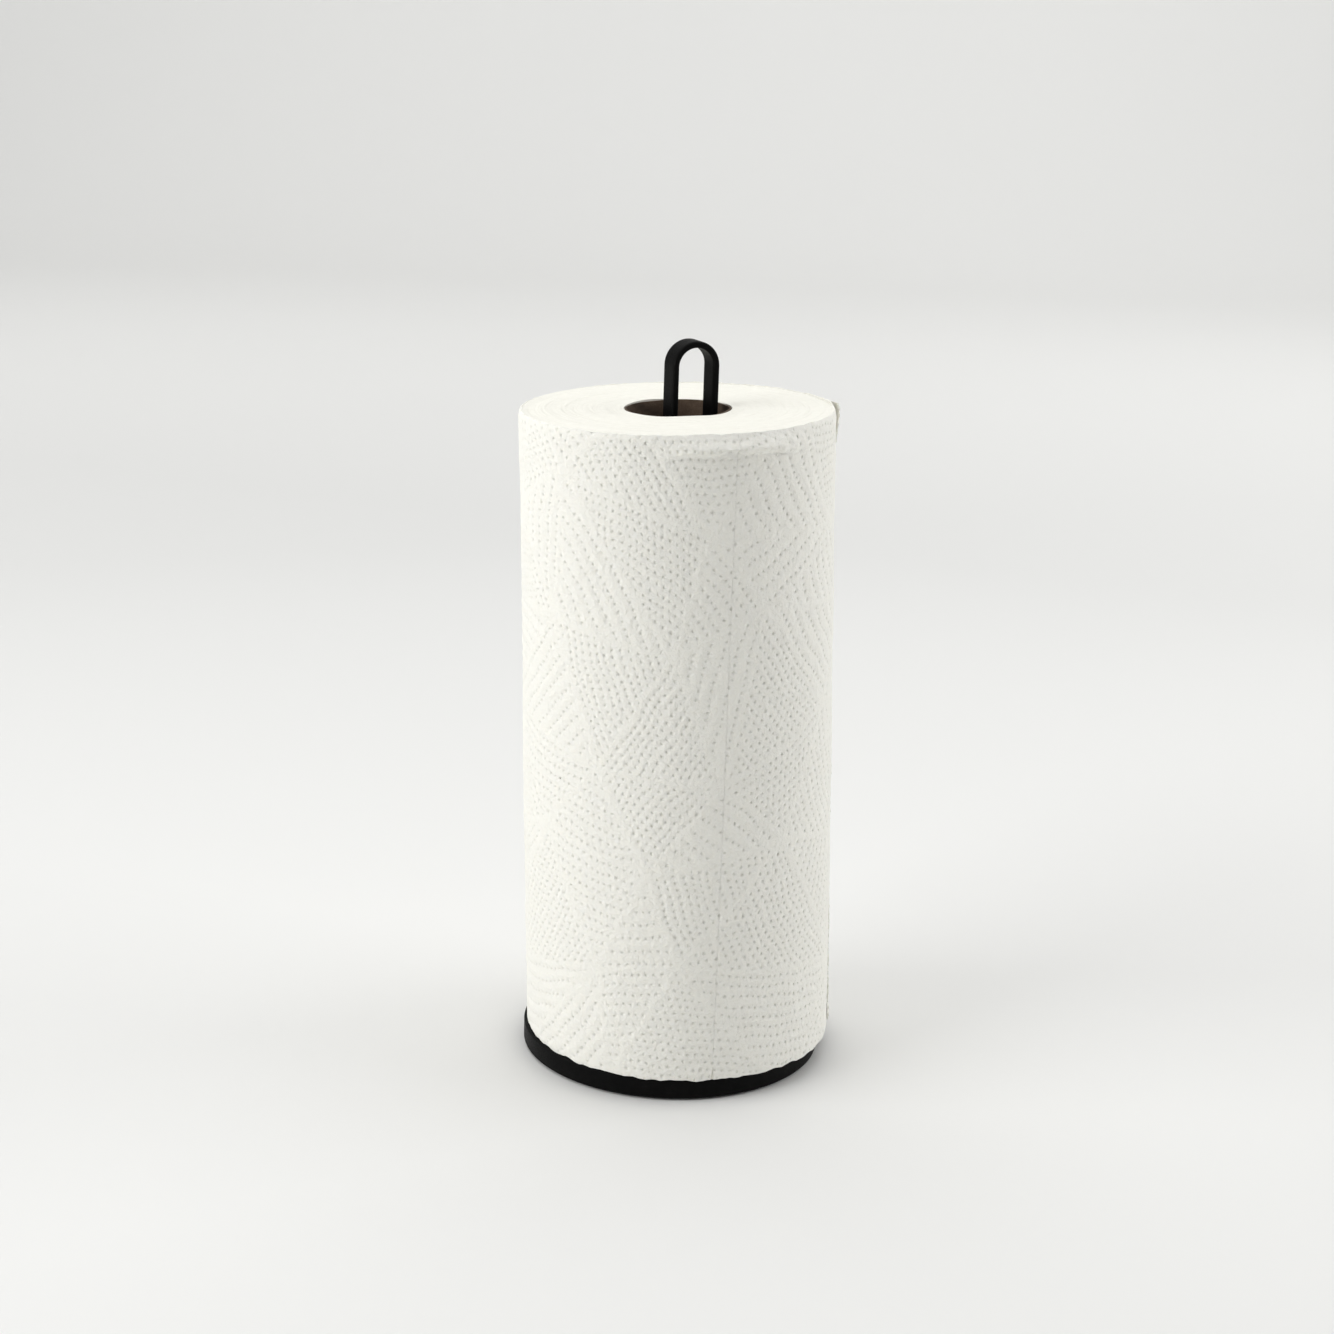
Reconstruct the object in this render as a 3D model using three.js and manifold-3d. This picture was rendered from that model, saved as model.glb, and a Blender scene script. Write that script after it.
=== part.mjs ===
// Free-standing kitchen roll holder: a weighted steel disc with an anti-slip pad under it,
// and a flat bar bent into a tall narrow loop that stands on it and carries the roll.
// The roll is a cardboard core, the wound paper, and the three sheets of its outermost turn.
//
// Lengths are in millimetres and angles in degrees. +Z is up, +X runs across the loop,
// and the origin is the centre of the pad's underside.

import * as THREE from 'three';
import { mergeVertices } from 'three/addons/utils/BufferGeometryUtils.js';
import Module from 'manifold-3d';

const wasm = await Module();
wasm.setup();

// Base disc and the pad let into its underside.
const BASE_RADIUS = 61.9;
const BASE_BOTTOM = 0.8;
const BASE_TOP = 9.1;
const BASE_EDGE_RADIUS = 0.6;
const PAD_RADIUS = 56.5;
const PAD_RECESS = 1.0;
const PAD_TOP_GAP = 0.1;
const PAD_SIDE_GAP = 0.3;
const PAD_ACCESS_RADIUS = 5.5;

// Bent flat bar.
const LOOP_TOP = 296.9;
const LOOP_WIDTH = 20.0;
const BAR_WIDTH = 9.6;
const BAR_THICKNESS = 2.6;
const BAR_EDGE_RADIUS = 0.8;

// Foot plate welded across the bar's two ends, and the screws that pull it to the base.
const PLATE_RADIUS = 15.0;
const PLATE_THICKNESS = 3.0;
const WELD_GAP = 0.05;
const SCREW_SPACING = 18.0;
const SCREW_RADIUS = 2.5;
const SCREW_HEAD_RADIUS = 4.6;
const SCREW_HEAD_RIM = 0.5;
const SCREW_CLEARANCE = 0.15;
const SCREW_HEAD_BOTTOM = BASE_BOTTOM + PAD_RECESS + 0.1;
const SOCKET_RADIUS = 1.75;
const SOCKET_DEPTH = 1.7;

// Kitchen roll.
const ROLL_FOOT = 9.4;
const ROLL_HEIGHT = 260.0;
const ROLL_RADIUS = 62.85;
const CORE_INNER_RADIUS = 20.9;
const CORE_WALL = 0.9;
const CORE_SET_BACK = 0.8;
const PAPER_GAP = 0.3;
const PAPER_EDGE_RADIUS = 1.2;

// Outermost turn: three perforated sheets on one slow spiral, wound in from the free edge.
const SHEET_LENGTH_ANGLE = 140.7;
const SHEET_COUNT = 3;
const FREE_EDGE_ANGLE = -23.5;
const SHEET_THICKNESS = 0.45;
const SPIRAL_PITCH = 0.6;
const PERFORATION_GAP_ANGLE = 0.2;

// How the roll has settled: its foot stands flat but off the post's centre, the roll leans
// back across the post, and the turns have spread a little at the foot.
const LEAN_ANGLE = 1.72;
const LEAN_DIRECTION = 154.5;
const FOOT_OFFSET = 2.9;
const FOOT_SPREAD = 0.8;

// Smoothness of the round faces.
const BASE_SEGMENTS = 80;
const PAPER_SEGMENTS = 80;
const CORE_SEGMENTS = 56;
const SMALL_SEGMENTS = 24;
const CORNER_STEPS = 3;
const LOOP_ARC_STEPS = 24;
const SHEET_STEP_ANGLE = 4.5;

const COLOURS = {
  powderCoat: { color: 0x1b1b1c, roughness: 0.62, metalness: 0.0 },
  pad: { color: 0x151515, roughness: 0.9, metalness: 0.0 },
  screw: { color: 0xb4b7ba, roughness: 0.35, metalness: 1.0 },
  cardboard: { color: 0x8a6a4c, roughness: 0.9, metalness: 0.0 },
  woundPaper: { color: 0xf4f4ee, roughness: 0.95, metalness: 0.0 },
  sheet: { color: 0xf6f6f0, roughness: 0.95, metalness: 0.0 },
};

const radians = THREE.MathUtils.degToRad;

/** Points of a round corner in a half-plane profile, from one angle to another about a centre. */
function corner(centreR, centreZ, radius, fromAngle, toAngle) {
  const points = [];
  for (let step = 0; step <= CORNER_STEPS; step += 1) {
    const angle = radians(fromAngle + ((toAngle - fromAngle) * step) / CORNER_STEPS);
    const r = centreR + radius * Math.cos(angle);
    const z = centreZ + radius * Math.sin(angle);
    points.push(new THREE.Vector2(r, z));
  }
  return points;
}

/** A body of revolution about +Z from a profile of (radius, height) points. */
function turned(profile, segments) {
  const geometry = new THREE.LatheGeometry(profile, segments);
  geometry.rotateX(Math.PI / 2);
  return geometry;
}

/** A ring with square inner corners and round outer ones; it stands from bottom to top. */
function ring(innerRadius, outerRadius, bottom, top, edgeRadius, segments) {
  const start = new THREE.Vector2(innerRadius, bottom);
  const profile = [
    start,
    ...corner(outerRadius - edgeRadius, bottom + edgeRadius, edgeRadius, -90, 0),
    ...corner(outerRadius - edgeRadius, top - edgeRadius, edgeRadius, 0, 90),
    new THREE.Vector2(innerRadius, top),
    start.clone(),
  ];
  return turned(profile, segments);
}

/** A plain upright cylinder from bottom to top, centred on (x, y). */
function post(x, y, radius, bottom, top, segments) {
  const geometry = new THREE.CylinderGeometry(radius, radius, top - bottom, segments);
  geometry.rotateX(Math.PI / 2);
  geometry.translate(x, y, (bottom + top) / 2);
  return geometry;
}

/** Turns a geometry into a solid that can be cut. */
function toSolid(geometry) {
  const bare = geometry.index ? geometry.toNonIndexed() : geometry.clone();
  bare.deleteAttribute('normal');
  bare.deleteAttribute('uv');
  const merged = mergeVertices(bare, 1e-4);
  const vertProperties = new Float32Array(merged.attributes.position.array);
  const triVerts = new Uint32Array(merged.index.array);
  return new wasm.Manifold(new wasm.Mesh({ numProp: 3, vertProperties, triVerts }));
}

/** Turns a solid back into a geometry. */
function toGeometry(solid) {
  const mesh = solid.getMesh();
  const geometry = new THREE.BufferGeometry();
  geometry.setAttribute('position', new THREE.BufferAttribute(mesh.vertProperties, mesh.numProp));
  geometry.setIndex(new THREE.BufferAttribute(mesh.triVerts, 1));
  return geometry;
}

/** Cuts every tool geometry out of a body geometry. */
function cut(body, tools) {
  let solid = toSolid(body);
  for (const tool of tools) {
    solid = solid.subtract(toSolid(tool));
  }
  return toGeometry(solid);
}

/** The two screws' places on the base. */
function screwPlaces() {
  return [-SCREW_SPACING / 2, SCREW_SPACING / 2];
}

/** Profile of a countersunk screw from bottom to tip, grown sideways by a clearance. */
function screwProfile(bottom, tip, grow) {
  const shank = SCREW_RADIUS + grow;
  const head = SCREW_HEAD_RADIUS + grow;
  const rimTop = SCREW_HEAD_BOTTOM + SCREW_HEAD_RIM;
  return [
    new THREE.Vector2(0, bottom),
    new THREE.Vector2(head, bottom),
    new THREE.Vector2(head, rimTop),
    new THREE.Vector2(shank, rimTop + head - shank),
    new THREE.Vector2(shank, tip),
    new THREE.Vector2(0, tip),
  ];
}

/** The steel disc: edges rounded, pad recess and countersunk screw holes on its underside. */
function baseDisc() {
  const recessRadius = PAD_RADIUS + PAD_SIDE_GAP;
  const recessTop = BASE_BOTTOM + PAD_RECESS;
  const edge = BASE_RADIUS - BASE_EDGE_RADIUS;
  const profile = [
    new THREE.Vector2(0, recessTop),
    new THREE.Vector2(recessRadius, recessTop),
    new THREE.Vector2(recessRadius, BASE_BOTTOM),
    ...corner(edge, BASE_BOTTOM + BASE_EDGE_RADIUS, BASE_EDGE_RADIUS, -90, 0),
    ...corner(edge, BASE_TOP - BASE_EDGE_RADIUS, BASE_EDGE_RADIUS, 0, 90),
    new THREE.Vector2(0, BASE_TOP),
  ];
  const tools = screwPlaces().map((y) => {
    const above = BASE_TOP + PLATE_THICKNESS;
    const tool = turned(screwProfile(BASE_BOTTOM, above, SCREW_CLEARANCE), SMALL_SEGMENTS);
    return tool.translate(0, y, 0);
  });
  return cut(turned(profile, BASE_SEGMENTS), tools);
}

/** The pad: a thin disc with an access hole under each screw. */
function antiSlipPad() {
  const top = BASE_BOTTOM + PAD_RECESS - PAD_TOP_GAP;
  const disc = post(0, 0, PAD_RADIUS, 0, top, BASE_SEGMENTS);
  const tools = screwPlaces().map((y) => post(0, y, PAD_ACCESS_RADIUS, -1, top + 1, SMALL_SEGMENTS));
  return cut(disc, tools);
}

/** Outline of the bent bar seen from the front: two legs and a half-round top. */
function loopOutline(height) {
  const outer = LOOP_WIDTH / 2;
  const inner = outer - BAR_THICKNESS;
  const bend = height - outer;
  const outline = new THREE.Shape();
  outline.moveTo(-outer, 0);
  outline.lineTo(-inner, 0);
  outline.lineTo(-inner, bend);
  outline.absarc(0, bend, inner, Math.PI, 0, true);
  outline.lineTo(inner, 0);
  outline.lineTo(outer, 0);
  outline.lineTo(outer, bend);
  outline.absarc(0, bend, outer, 0, Math.PI, false);
  outline.closePath();
  return outline;
}

/** The bent flat bar, with its long edges rounded, standing on the foot plate. */
function postLoop() {
  const foot = BASE_TOP + PLATE_THICKNESS + WELD_GAP;
  const geometry = new THREE.ExtrudeGeometry(loopOutline(LOOP_TOP - foot), {
    depth: BAR_WIDTH - 2 * BAR_EDGE_RADIUS,
    bevelEnabled: true,
    bevelThickness: BAR_EDGE_RADIUS,
    bevelSize: BAR_EDGE_RADIUS,
    bevelOffset: -BAR_EDGE_RADIUS,
    bevelSegments: CORNER_STEPS,
    curveSegments: LOOP_ARC_STEPS,
  });
  geometry.translate(0, 0, BAR_EDGE_RADIUS - BAR_WIDTH / 2);
  geometry.rotateX(Math.PI / 2);
  geometry.translate(0, 0, foot);
  return geometry;
}

/** The round plate welded to the bar's ends, with two tapped holes. */
function footPlate() {
  const top = BASE_TOP + PLATE_THICKNESS;
  const plate = post(0, 0, PLATE_RADIUS, BASE_TOP, top, 2 * SMALL_SEGMENTS);
  const holeRadius = SCREW_RADIUS + SCREW_CLEARANCE;
  const tools = screwPlaces().map((y) => post(0, y, holeRadius, BASE_TOP - 1, top + 1, SMALL_SEGMENTS));
  return cut(plate, tools);
}

/** A countersunk screw put in from below, with a hexagon socket in its head. */
function screw(y) {
  const tip = BASE_TOP + PLATE_THICKNESS;
  const body = turned(screwProfile(SCREW_HEAD_BOTTOM, tip, 0), SMALL_SEGMENTS);
  const socketTop = SCREW_HEAD_BOTTOM + SOCKET_DEPTH;
  const socket = post(0, 0, SOCKET_RADIUS, SCREW_HEAD_BOTTOM - 1, socketTop, 6);
  return cut(body, [socket]).translate(0, y, 0);
}

/**
 * Settles a roll piece that was made upright on the origin. With t the height as a share of
 * the roll's, every radius grows by the foot spread times (1 - t), and each level tilts in
 * proportion to t, so the foot stays flat and the top slopes with the lean. The outside moves
 * along the lean direction by its height times the lean's tangent less the foot offset. The
 * core and the bore around it stay upright on the spin axis, halfway along that move.
 */
function settle(geometry) {
  const slope = Math.tan(radians(LEAN_ANGLE));
  const alongX = Math.cos(radians(LEAN_DIRECTION));
  const alongY = Math.sin(radians(LEAN_DIRECTION));
  const spinAxisShift = (slope * ROLL_HEIGHT) / 2 - FOOT_OFFSET;
  const places = geometry.attributes.position;
  for (let i = 0; i < places.count; i += 1) {
    const z = places.getZ(i);
    const t = z / ROLL_HEIGHT;
    const spread = 1 + (FOOT_SPREAD / ROLL_RADIUS) * (1 - t);
    const x = places.getX(i) * spread;
    const y = places.getY(i) * spread;
    const isOutside = Math.hypot(x, y) > ROLL_RADIUS / 2;
    const shift = isOutside ? slope * z - FOOT_OFFSET : spinAxisShift;
    const drop = slope * (x * alongX + y * alongY) * t;
    places.setXYZ(i, x + shift * alongX, y + shift * alongY, z - drop + ROLL_FOOT);
  }
  return geometry;
}

/** The cardboard tube in the middle of the roll. */
function coreTube() {
  const start = new THREE.Vector2(CORE_INNER_RADIUS, CORE_SET_BACK);
  const outer = CORE_INNER_RADIUS + CORE_WALL;
  const top = ROLL_HEIGHT - CORE_SET_BACK;
  const profile = [
    start,
    new THREE.Vector2(outer, CORE_SET_BACK),
    new THREE.Vector2(outer, top),
    new THREE.Vector2(CORE_INNER_RADIUS, top),
    start.clone(),
  ];
  return settle(turned(profile, CORE_SEGMENTS));
}

/** Outer radius of the outermost turn at an angle past its free edge. */
function spiralRadius(angle) {
  return ROLL_RADIUS - (SPIRAL_PITCH * angle) / 360;
}

/** The wound paper under the outermost turn. */
function woundPaper() {
  const inner = CORE_INNER_RADIUS + CORE_WALL + PAPER_GAP;
  const turnEnd = spiralRadius(SHEET_LENGTH_ANGLE * SHEET_COUNT);
  const outer = turnEnd - SHEET_THICKNESS - PAPER_GAP / 2;
  return settle(ring(inner, outer, 0, ROLL_HEIGHT, PAPER_EDGE_RADIUS, PAPER_SEGMENTS));
}

/** One sheet of the outermost turn, counted from the free edge: a thin strip on the spiral. */
function outerSheet(index) {
  const from = index * SHEET_LENGTH_ANGLE + PERFORATION_GAP_ANGLE / 2;
  const to = (index + 1) * SHEET_LENGTH_ANGLE - PERFORATION_GAP_ANGLE / 2;
  const steps = Math.ceil((to - from) / SHEET_STEP_ANGLE);
  const outside = [];
  const inside = [];
  for (let step = 0; step <= steps; step += 1) {
    const angle = from + ((to - from) * step) / steps;
    const turn = radians(angle + FREE_EDGE_ANGLE);
    const direction = new THREE.Vector2(Math.cos(turn), Math.sin(turn));
    const radius = spiralRadius(angle);
    outside.push(direction.clone().multiplyScalar(radius));
    inside.push(direction.clone().multiplyScalar(radius - SHEET_THICKNESS));
  }
  const outline = new THREE.Shape([...outside, ...inside.reverse()]);
  const strip = new THREE.ExtrudeGeometry(outline, { depth: ROLL_HEIGHT, bevelEnabled: false });
  return settle(strip);
}

/** Adds one named piece with its own material to a group. */
function add(group, name, geometry, look) {
  const mesh = new THREE.Mesh(geometry, new THREE.MeshStandardMaterial(look));
  mesh.name = name;
  group.add(mesh);
}

/** The holder: base, pad, loop, foot plate and screws. */
function holder() {
  const group = new THREE.Group();
  add(group, 'base_disc', baseDisc(), COLOURS.powderCoat);
  add(group, 'anti_slip_pad', antiSlipPad(), COLOURS.pad);
  add(group, 'post_loop', postLoop(), COLOURS.powderCoat);
  add(group, 'foot_plate', footPlate(), COLOURS.powderCoat);
  screwPlaces().forEach((y, index) => {
    add(group, `base_screw_${index + 1}`, screw(y), COLOURS.screw);
  });
  return group;
}

/** The kitchen roll: core, wound paper and the sheets of its outermost turn. */
function roll() {
  const group = new THREE.Group();
  add(group, 'core_tube', coreTube(), COLOURS.cardboard);
  add(group, 'wound_paper', woundPaper(), COLOURS.woundPaper);
  for (let index = 0; index < SHEET_COUNT; index += 1) {
    add(group, `outer_sheet_${index + 1}`, outerSheet(index), COLOURS.sheet);
  }
  return group;
}

const rollHolder = new THREE.Group();
rollHolder.add(holder());
rollHolder.add(roll());

export default rollHolder;
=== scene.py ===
"""Looks of a free-standing kitchen roll holder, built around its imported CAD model.

The holder is a weighted powder-coated disc on an anti-slip pad, with a flat bar bent into a
tall loop. The roll on it is a cardboard core, the wound paper and the three embossed sheets of
its outermost turn. Every piece is a surface worked out with numpy, in metres, in the frame of
the CAD model: +Z up, +X across the loop, origin at the middle of the pad's underside.
"""

from __future__ import annotations

import logging
import math
from dataclasses import dataclass, field
from enum import Enum

import bmesh
import bpy
import numpy as np
from mathutils import Matrix, Vector


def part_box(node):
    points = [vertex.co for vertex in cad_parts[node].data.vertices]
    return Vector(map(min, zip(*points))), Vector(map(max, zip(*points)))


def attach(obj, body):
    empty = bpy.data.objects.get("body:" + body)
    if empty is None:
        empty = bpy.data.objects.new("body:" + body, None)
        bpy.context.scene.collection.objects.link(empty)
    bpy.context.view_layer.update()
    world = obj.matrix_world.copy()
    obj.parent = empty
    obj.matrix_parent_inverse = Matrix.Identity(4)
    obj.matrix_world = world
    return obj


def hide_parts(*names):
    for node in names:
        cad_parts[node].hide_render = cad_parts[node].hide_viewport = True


log = logging.getLogger("roll_holder")

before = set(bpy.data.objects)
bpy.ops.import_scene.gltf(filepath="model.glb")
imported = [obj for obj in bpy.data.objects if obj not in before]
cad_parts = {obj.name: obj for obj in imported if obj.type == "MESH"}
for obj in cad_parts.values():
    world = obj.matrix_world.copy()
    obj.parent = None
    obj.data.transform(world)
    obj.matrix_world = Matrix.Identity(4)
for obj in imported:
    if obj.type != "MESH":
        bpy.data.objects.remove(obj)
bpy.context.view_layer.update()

MM = 0.001
TURN = 2.0 * math.pi
WELD_DISTANCE = 1e-6


# --------------------------------------------------------------------------------------
# Surfaces
# --------------------------------------------------------------------------------------


@dataclass
class Patch:
    """A grid of points and what each of them carries.

    Args:
        points: array of (rows, columns, 3), in metres.
        wrap_rows: the last row joins the first.
        wrap_columns: the last column joins the first.
        carried: named values per point, (rows, columns) or (rows, columns, 3).
    """

    points: np.ndarray
    wrap_rows: bool = False
    wrap_columns: bool = False
    carried: dict[str, np.ndarray] = field(default_factory=dict)

    def quads(self, start: int) -> np.ndarray:
        """Corner numbers of the grid's faces.

        Row r, column c joins r, c + 1, then r + 1, c + 1, then r + 1, c.

        Args:
            start: number of the patch's first point in the mesh.

        Returns:
            An array of (faces, 4).
        """
        rows, columns = self.points.shape[:2]
        r = np.arange(rows if self.wrap_rows else rows - 1)[:, None]
        c = np.arange(columns if self.wrap_columns else columns - 1)[None, :]
        below, right = (r + 1) % rows, (c + 1) % columns
        corners = (r * columns + c, r * columns + right, below * columns + right, below * columns + c)
        return start + np.stack(np.broadcast_arrays(*corners), axis=-1).reshape(-1, 4)


def new_mesh(name: str, patches: list[Patch], sharp_degrees: float = 0.0) -> bpy.types.Mesh:
    """Puts patches into one mesh, with their carried values as point attributes.

    Args:
        name: the mesh's name.
        patches: the grids that make it up.
        sharp_degrees: an edge that turns by more than this is a hard one; 0 leaves the seams
            between the patches open.

    Returns:
        The mesh, smooth shaded.
    """
    starts = np.cumsum([0] + [p.points.shape[0] * p.points.shape[1] for p in patches])
    points = np.concatenate([p.points.reshape(-1, 3) for p in patches])
    quads = np.concatenate([p.quads(start) for p, start in zip(patches, starts)])
    mesh = bpy.data.meshes.new(name)
    mesh.vertices.add(len(points))
    mesh.vertices.foreach_set("co", points.astype(np.float32).ravel())
    mesh.loops.add(quads.size)
    mesh.loops.foreach_set("vertex_index", quads.astype(np.int32).ravel())
    mesh.polygons.add(len(quads))
    mesh.polygons.foreach_set("loop_start", np.arange(0, quads.size, 4, dtype=np.int32))
    mesh.update(calc_edges=True)
    for key in patches[0].carried:
        values = [p.carried[key] for p in patches]
        is_vector = values[0].ndim == 3
        width = 3 if is_vector else 1
        flat = np.concatenate([v.reshape(-1, width) for v in values]).astype(np.float32)
        kind = "FLOAT_VECTOR" if is_vector else "FLOAT"
        layer = mesh.attributes.new(key, kind, "POINT")
        layer.data.foreach_set("vector" if is_vector else "value", flat.ravel())
    mesh.polygons.foreach_set("use_smooth", np.ones(len(quads), dtype=bool))
    if sharp_degrees:
        close_seams(mesh, sharp_degrees)
    return mesh


def close_seams(mesh: bpy.types.Mesh, sharp_degrees: float) -> None:
    """Merges the points that patches share, turns the faces outwards and marks hard edges.

    Args:
        mesh: the mesh, changed in place.
        sharp_degrees: an edge that turns by more than this is a hard one.
    """
    work = bmesh.new()
    work.from_mesh(mesh)
    bmesh.ops.remove_doubles(work, verts=work.verts, dist=WELD_DISTANCE)
    bmesh.ops.dissolve_degenerate(work, edges=work.edges, dist=WELD_DISTANCE)
    bmesh.ops.recalc_face_normals(work, faces=work.faces)
    work.to_mesh(mesh)
    work.free()
    mesh.set_sharp_from_angle(angle=math.radians(sharp_degrees))


def circle(count: int) -> np.ndarray:
    """Unit directions evenly round a turn, as (count, 2)."""
    angle = np.linspace(0.0, TURN, count, endpoint=False)
    return np.stack([np.cos(angle), np.sin(angle)], axis=-1)


def arc(centre: tuple[float, float], radius: float, start: float, end: float, count: int) -> np.ndarray:
    """Points on an arc: centre plus radius times the cosine and sine of a turning angle.

    Args:
        centre: the arc's centre.
        radius: its radius.
        start: first angle, in degrees.
        end: last angle, in degrees.
        count: how many points.

    Returns:
        An array of (count, 2).
    """
    angle = np.radians(np.linspace(start, end, count))
    return np.stack([centre[0] + radius * np.cos(angle), centre[1] + radius * np.sin(angle)], axis=-1)


def revolve(profile: np.ndarray, directions: np.ndarray) -> np.ndarray:
    """Carries a (radius, height) profile round the Z axis.

    Point (i, j) is radius i times direction j, at height i.

    Args:
        profile: (rows, 2) of radius and height.
        directions: (columns, 2) of unit directions.

    Returns:
        Points of (rows, columns, 3).
    """
    flat = profile[:, None, :1] * directions[None, :, :]
    height = np.broadcast_to(profile[:, None, 1:], (*flat.shape[:2], 1))
    return np.concatenate([flat, height], axis=-1)


def smooth_step(low: float, high: float, value: np.ndarray) -> np.ndarray:
    """0 below low, 1 above high, and 3 t squared less 2 t cubed between them."""
    t = np.clip((value - low) / (high - low), 0.0, 1.0)
    return t * t * (3.0 - 2.0 * t)


def ripple(first: np.ndarray, second: np.ndarray, length: float, seed: int) -> np.ndarray:
    """Soft random waves: the sum of eight sines of the two parameters, over the root of eight.

    Each sine has its own direction, a wavelength between 0.7 and 1.6 times length, and its own
    phase, all drawn from the seed.

    Args:
        first: first parameter, in metres.
        second: second parameter, in metres.
        length: the waves' middle wavelength, in metres.
        seed: the draw's seed.

    Returns:
        Heights mostly from -1.5 to 1.5, of the parameters' shape.
    """
    draw = np.random.default_rng(seed)
    total = np.zeros(np.broadcast(first, second).shape)
    waves = 8
    for _ in range(waves):
        heading, phase = draw.uniform(0.0, TURN, 2)
        pitch = length * draw.uniform(0.7, 1.6)
        along = first * math.cos(heading) + second * math.sin(heading)
        total = total + np.sin(TURN * along / pitch + phase)
    return total / math.sqrt(waves)


# --------------------------------------------------------------------------------------
# Shader helpers and shared effects
# --------------------------------------------------------------------------------------


class Wiring:
    """Short calls that add nodes to a node tree and join them."""

    def __init__(self, tree: bpy.types.NodeTree) -> None:
        """Takes the tree that the nodes go into."""
        self.tree = tree

    def node(self, kind: str, **settings: object) -> bpy.types.Node:
        """Adds a node.

        Args:
            kind: the node's class, without its ShaderNode prefix.
            settings: properties to set on it.

        Returns:
            The node.
        """
        made = self.tree.nodes.new(kind if kind.startswith("NodeGroup") else f"ShaderNode{kind}")
        for key, value in settings.items():
            setattr(made, key, value)
        return made

    def feed(self, socket: bpy.types.NodeSocket, source: object) -> None:
        """Joins a socket to another socket, or sets it to a plain value."""
        if isinstance(source, bpy.types.NodeSocket):
            self.tree.links.new(source, socket)
        else:
            socket.default_value = source

    def give(self, node: bpy.types.Node, **sources: object) -> None:
        """Feeds a node's inputs by name, with _ for a space."""
        for key, source in sources.items():
            self.feed(node.inputs[key.replace("_", " ")], source)

    def fed(self, made: bpy.types.Node, sources: tuple[object, ...]) -> bpy.types.NodeSocket:
        """Feeds a node's inputs in order and returns its first output."""
        for socket, source in zip(made.inputs, sources):
            self.feed(socket, source)
        return made.outputs[0]

    def math(self, operation: str, *sources: object, clamp: bool = False) -> bpy.types.NodeSocket:
        """Adds a Math node on the given sources and returns its output."""
        return self.fed(self.node("Math", operation=operation, use_clamp=clamp), sources)

    def vector_math(self, operation: str, *sources: object) -> bpy.types.NodeSocket:
        """Adds a Vector Math node on the given sources and returns its vector output."""
        return self.fed(self.node("VectorMath", operation=operation), sources)

    def noise(
        self, vector: object, scale: float, detail: float, roughness: float
    ) -> bpy.types.NodeSocket:
        """Adds a Noise Texture and returns its value output."""
        made = self.node("TexNoise")
        self.give(made, Vector=vector, Scale=scale, Detail=detail, Roughness=roughness)
        return made.outputs["Fac"]

    def spread(
        self, value: object, low: float, high: float, to_low: float, to_high: float
    ) -> bpy.types.NodeSocket:
        """Maps a value's range smoothly onto another one and returns it."""
        made = self.node("MapRange", interpolation_type="SMOOTHSTEP")
        self.give(made, Value=value, From_Min=low, From_Max=high, To_Min=to_low, To_Max=to_high)
        return made.outputs["Result"]

    def mix(self, factor: object, first: object, second: object) -> bpy.types.NodeSocket:
        """Mixes two colours and returns the mixed one."""
        made = self.node("Mix", data_type="RGBA")
        self.feed(made.inputs["Factor"], factor)
        colours = [s for s in made.inputs if s.type == "RGBA"]
        for socket, source in zip(colours, (first, second)):
            self.feed(socket, source)
        return next(s for s in made.outputs if s.type == "RGBA")

    def object_place(self) -> bpy.types.NodeSocket:
        """The shaded point's place in the object's own coordinates."""
        return self.node("TexCoord").outputs["Object"]

    def carried(self, name: str) -> bpy.types.Node:
        """The Attribute node of a named value that the mesh carries."""
        return self.node("Attribute", attribute_name=name)

    def bump(self, height: object, distance: float, normal: object = None) -> bpy.types.NodeSocket:
        """Adds a Bump node that raises the surface by up to distance, in metres."""
        made = self.node("Bump")
        self.give(made, Strength=1.0, Distance=distance, Height=height)
        if normal is not None:
            self.feed(made.inputs["Normal"], normal)
        return made.outputs["Normal"]


class SharedEffect(Enum):
    """The effects that the finishes draw on, each a node group that is built once."""

    GRAIN = "surface_grain"
    EDGE_WEAR = "edge_wear"
    DUST = "settled_dust"
    FIBRES = "paper_fibres"

    def group(self) -> bpy.types.NodeTree:
        """The effect's node group, built on first use."""
        made = bpy.data.node_groups.get(self.value)
        if made is None:
            made = bpy.data.node_groups.new(self.value, "ShaderNodeTree")
            BUILDERS[self](made)
        return made


def open_group(
    tree: bpy.types.NodeTree, outputs: tuple[str, ...], **inputs: float
) -> tuple[Wiring, bpy.types.Node, bpy.types.Node]:
    """Gives a node group its float inputs and outputs.

    Args:
        tree: the group.
        outputs: the names of what it gives.
        inputs: the usual value of each input by name, with _ for a space.

    Returns:
        Its wiring, the node with its inputs and the node that takes its outputs.
    """
    for name, value in inputs.items():
        label = name.replace("_", " ")
        socket = tree.interface.new_socket(name=label, in_out="INPUT", socket_type="NodeSocketFloat")
        socket.default_value = value
    for name in outputs:
        tree.interface.new_socket(name=name, in_out="OUTPUT", socket_type="NodeSocketFloat")
    return Wiring(tree), tree.nodes.new("NodeGroupInput"), tree.nodes.new("NodeGroupOutput")


def build_grain(tree: bpy.types.NodeTree) -> None:
    """Fine and broad unevenness: Height is a fine noise, Tint a broad one, both 0 to 1."""
    wiring, given, result = open_group(
        tree, ("Height", "Tint"), Fine_Scale=1000.0, Broad_Scale=60.0
    )
    place = wiring.object_place()
    for scale, detail, output in (("Fine Scale", 3.0, "Height"), ("Broad Scale", 4.0, "Tint")):
        texture = wiring.node("TexNoise")
        wiring.give(texture, Vector=place, Scale=given.outputs[scale], Detail=detail)
        wiring.feed(result.inputs[output], texture.outputs["Fac"])


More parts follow.
